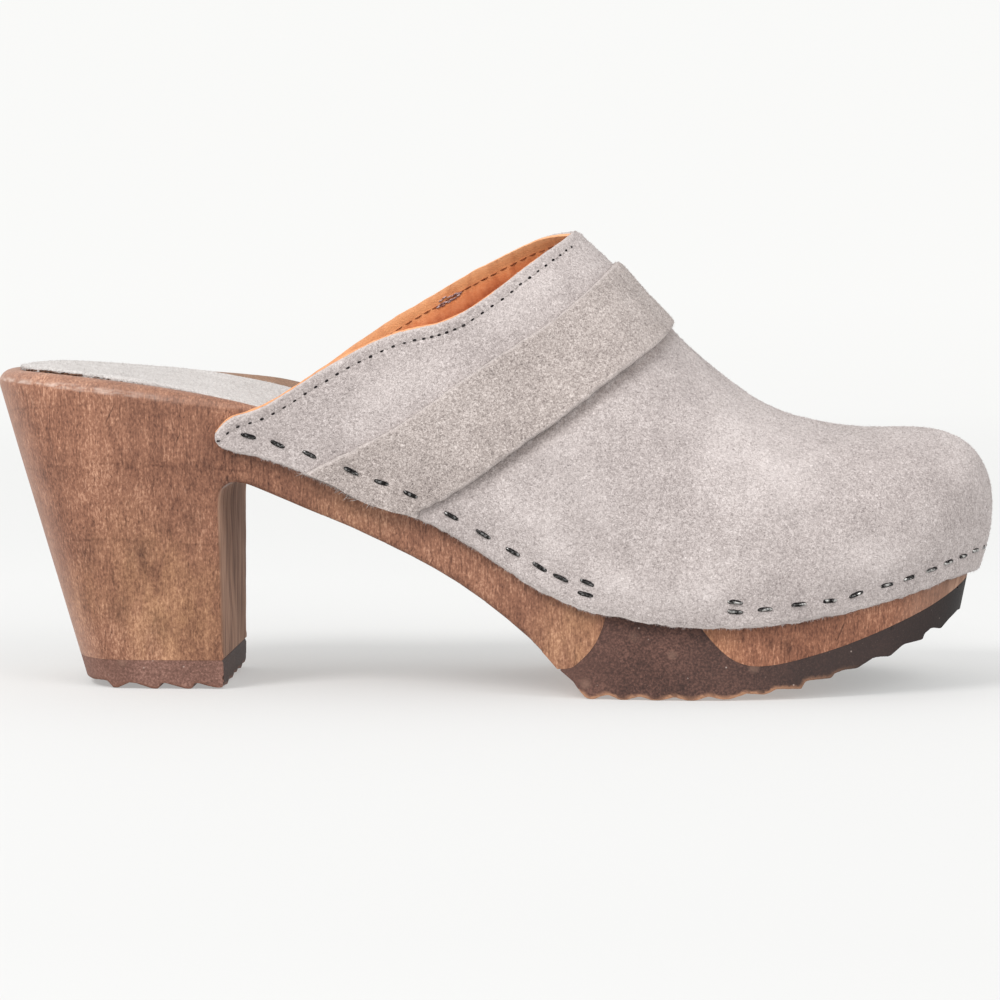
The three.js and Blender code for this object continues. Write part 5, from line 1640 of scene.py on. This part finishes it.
def edge_fibres(P, out, n, per_mm, length, width, spread=0.6, deep=1.0):
    """Fibres along a cut edge P (m, 3): out is away from the piece, n the outward normal; they root through the
    cut's thickness."""
    seg = np.linalg.norm(np.diff(P, axis=0), axis=1)
    d = np.concatenate([[0], np.cumsum(seg)])
    count = int(d[-1] * per_mm * (1.0))
    at = rng.uniform(0, d[-1], count)
    get = lambda G: np.stack([np.interp(at, d, G[:, k]) for k in range(3)], 1)
    p, o, nn = get(P), unit(get(out)), unit(get(n))
    p = p - nn * rng.uniform(0.05, deep, (count, 1)) - o * rng.uniform(0, 0.25, (count, 1))
    dr = o + spread * rng.normal(size=p.shape)
    clump = 0.6 + 0.7 * (0.5 + 0.5 * noise2(at / 1.6, 0 * at + count % 17, 61))
    return p, dr, rng.uniform(0.35, 1.0, count) * length * clump, rng.uniform(0.7, 1.2, count) * width


def edges():
    parts = []
    for s in (0, 1):
        A, N = UA[s], GRID[1][s]
        parts.append(edge_fibres(A[:, 0], A[:, 0] - A[:, 2], N[:, 0], 20 if s == 0 else 8, 0.9, 0.085))
        top = A[:FIRST + 1, -1]
        parts.append(edge_fibres(top, top - A[:FIRST + 1, -3], N[:FIRST + 1, -1], 10 if s == 0 else 6, 0.5, 0.065))
    upper_parts = [np.concatenate(q) for q in zip(*parts)]
    a = fibres("edge_fibres_upper", *upper_parts, SUEDE)
    parts = []
    for j, k in ((0, 2), (-1, -3)):
        parts.append(edge_fibres(SF[:, j], SF[:, j] - SF[:, k], SN[:, j], 30 if j == 0 else 14, 1.05, 0.09, 0.7))
        # torn threads hang from the strap's lower end in two places
        n = len(SF)
        for lo, hi in ((0.0, 0.06), (0.3, 0.76)):
            q = slice(int(n * lo), int(n * hi))
            parts.append(edge_fibres(SF[q, j], SF[q, j] - SF[q, k], SN[q, j], 10, 2.3, 0.16, 0.9))
    parts.append(edge_fibres(SF[0], SF[0] - SF[2], SN[0], 12, 0.45, 0.06, 0.5, 0.5))
    parts.append(edge_fibres(SF[-1], SF[-1] - SF[-3], SN[-1], 14, 0.5, 0.05, 0.5))
    b = fibres("edge_fibres_strap", *[np.concatenate(q) for q in zip(*parts)], SUEDE_STRAP)
    parts = []
    back = slice(2, INSOLE_TOP.shape[0] * 2 // 3)
    for j, k in ((0, 3), (-1, -4)):
        E = INSOLE_TOP[back, j]
        up = np.zeros_like(E) + np.array([0, 0, 1.0])
        parts.append(edge_fibres(E, E - INSOLE_TOP[back, k] + up * 0.6, up, 20, 0.8, 0.065, 0.9, 0.5))
    rear = INSOLE_TOP[1]
    up = np.zeros_like(rear) + np.array([0, 0, 1.0])
    parts.append(edge_fibres(rear, rear - INSOLE_TOP[4] + up * 0.4, up, 36, 1.0, 0.07, 0.9, 0.5))
    c = fibres("edge_fibres_insole", *[np.concatenate(q) for q in zip(*parts)], SUEDE_INSOLE)
    return a, b, c


def glue():
    """Dark lumps along the insole's outer edge, thickest near the heel: dried glue, and painted shade where the pad's
    edge lifts.
    """
    E = INSOLE_TOP[:, 0]
    n = 120
    d = np.concatenate([[0], np.cumsum(np.linalg.norm(np.diff(E, axis=0), axis=1))])
    x = np.where(rng.uniform(size=n) < 0.45, rng.uniform(13.0, 22.0, n), rng.uniform(9.0, 64.0, n))
    keep = E[:, 0].argsort()
    p = np.stack([x, np.interp(x, E[keep, 0], E[keep, 1]), np.interp(x, E[keep, 0], E[keep, 2])], 1)
    p[:, 1] += rng.uniform(-0.75, 0.05, n)
    p[:, 2] = bed_z(p[:, 0], p[:, 1]) + rng.uniform(0.05, 0.5, n)
    # low-poly lumps: three rings and two poles
    a = np.arange(7) / 7 * 2 * np.pi
    ringz = np.array([-0.6, 0.0, 0.6])
    rr = np.array([0.8, 1.0, 0.75])
    u = np.concatenate([np.stack([r * np.cos(a), r * np.sin(a), np.full(7, z)], 1) for r, z in zip(rr, ringz)] + [np.array([[0, 0, -1.0], [0, 0, 1.0]])])
    size = np.stack([rng.uniform(0.25, 0.85, n), rng.uniform(0.12, 0.34, n), rng.uniform(0.1, 0.28, n)], 1) * np.where(x < 25, 1.0, 0.55)[:, None]
    V = p[:, None] + u[None] * size[:, None] * rng.uniform(0.75, 1.25, (n, len(u), 1))
    I = np.arange(21).reshape(3, 7)
    J = np.roll(I, -1, 1)
    q = np.stack([I[:-1].ravel(), J[:-1].ravel(), J[1:].ravel(), I[1:].ravel()], 1)
    t = np.concatenate([np.stack([np.full(7, 21), J[0], I[0]], 1), np.stack([np.full(7, 22), I[2], J[2]], 1)])
    sh = (np.arange(n) * 23)[:, None, None]
    return make_object("glue_line", V.reshape(-1, 3), [(q[None] + sh).reshape(-1, 4), (t[None] + sh).reshape(-1, 3)], GLUE_AND_SHADE)


staple_piece, slot_piece = staples()
hole_piece, thread_piece, brown_piece, tack_piece = seams()
nap_pieces = nap()
edge_pieces = edges()
glue_piece = glue()

# =====================================================================================================
# Stage
# =====================================================================================================
def stage():
    # a sweep: floor that turns up into the backdrop far behind
    pts = [(-2.2, 0.0), (1.2, 0.0)]
    for a in np.linspace(0, math.pi / 2, 24)[1:]:
        pts.append((1.2 + 0.9 * math.sin(a), 0.9 - 0.9 * math.cos(a)))
    pts.append((2.1, 4.5))
    V, F = [], []
    for k, (y, z) in enumerate(pts):
        V += [(-6.0, y, z), (6.0, y, z)]
        if k:
            F.append((2 * k - 2, 2 * k - 1, 2 * k + 1, 2 * k))
    me = bpy.data.meshes.new("floor")
    me.from_pydata(V, [], F)
    me.polygons.foreach_set("use_smooth", [True] * len(F))
    g = Graph("floor")
    n = g.noise(0.004, 2)
    col = g.ramp(n, (0.3, (FLOOR, FLOOR, FLOOR * 0.995)), (0.7, (FLOOR * 1.01, FLOOR * 1.01, FLOOR * 1.005)))
    col = g.blend("MIX", g.range(g.axis(g.mm, 1), -350.0, 250.0), g.blend("MULTIPLY", 1.0, col, (0.92, 0.92, 0.92)), g.blend("MULTIPLY", 1.0, col, (1.11, 1.11, 1.11)))
    # floor and backdrop glow as painted light, so that shadows stay soft and the two run on evenly
    far = g.range(g.axis(g.mm, 1), 300.0, 1500.0)
    g.link((0.95, 0.95, 0.935), g.bsdf.inputs["Emission Color"])
    g.link(g.math("ADD", g.math("MULTIPLY", far, BACKDROP - GLOW), GLOW), g.bsdf.inputs["Emission Strength"])
    me.materials.append(g.set(color=g.blend("MIX", far, col, (0.1, 0.1, 0.1)), rough=0.8, spec=0.1))
    o = bpy.data.objects.new("floor", me)
    bpy.context.scene.collection.objects.link(o)
    w = bpy.data.worlds.new("studio")
    w.use_nodes = True
    w.node_tree.nodes["Background"].inputs[0].default_value = (0.98, 0.99, 1.0, 1)
    w.node_tree.nodes["Background"].inputs[1].default_value = SKY
    bpy.context.scene.world = w

    def area(name, at, to, size, power, color=(1, 1, 1)):
        l = bpy.data.lights.new(name, "AREA")
        l.shape, l.size, l.energy, l.color = "DISK", size, power, color
        ob = bpy.data.objects.new(name, l)
        ob.location = at
        ob.rotation_mode = "QUATERNION"
        ob.rotation_quaternion = (Vector(to) - Vector(at)).to_track_quat("-Z", "Y")
        bpy.context.scene.collection.objects.link(ob)
        return ob

    area("key", (-0.72, -0.9, 1.15), (0.0, 0.0, 0.03), 0.6, KEY, (1.0, 0.99, 0.975))
    area("fill", (1.0, -1.15, 0.95), (0.05, 0.0, 0.04), 1.2, FILL)


FLOOR, GLOW, BACKDROP, SKY, KEY, FILL = 0.39, 0.36, 0.88, 0.9, 14.7, 11.9
stage()

view = bpy.context.scene.view_settings
view.view_transform, view.look = "Standard", "None"

# ---- camera: the photograph's angle, solved from the shoe's own proportions ------------------------------------
eye = (np.array([173.85, -998.63, 119.0]) + SHIFT) / 1000
aim = (np.array([121.51, 0.0, 43.8]) + SHIFT) / 1000
cam = bpy.data.cameras.new("camera")
cam.sensor_width, cam.lens = 36.0, 36.0 * 4.1437
cam.clip_start, cam.clip_end = 0.05, 20
camera = bpy.data.objects.new("camera", cam)
camera.location = eye
camera.rotation_mode = "QUATERNION"
camera.rotation_quaternion = Vector(aim - eye).to_track_quat("-Z", "Y")
bpy.context.scene.collection.objects.link(camera)
bpy.context.scene.camera = camera

# =====================================================================================================
# Which CAD piece each one stands for
# =====================================================================================================
for piece, node, slot in ((wood_rear, "sole_wood_rear", "wood"), (wood_front, "sole_wood_front", "wood"), (outsole, "outsole", "outsole_rubber"), (heel_lift, "heel_lift", "heel_rubber"),
                          (insole, "insole", "insole_suede"), (upper, "upper", "suede"), (strap, "strap", "suede")):
    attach(piece, "root")
    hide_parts(node)
for piece, slot in [(lining, "lining"), (staple_piece, "staple_steel"), (slot_piece, "thread"), (hole_piece, "thread"), (thread_piece, "thread"), (brown_piece, "thread"), (tack_piece, "thread"), (glue_piece, "insole_suede")] + [
        (o, "insole_suede" if "insole" in o.name else "suede") for o in list(nap_pieces) + list(edge_pieces)]:
    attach(piece, "root")
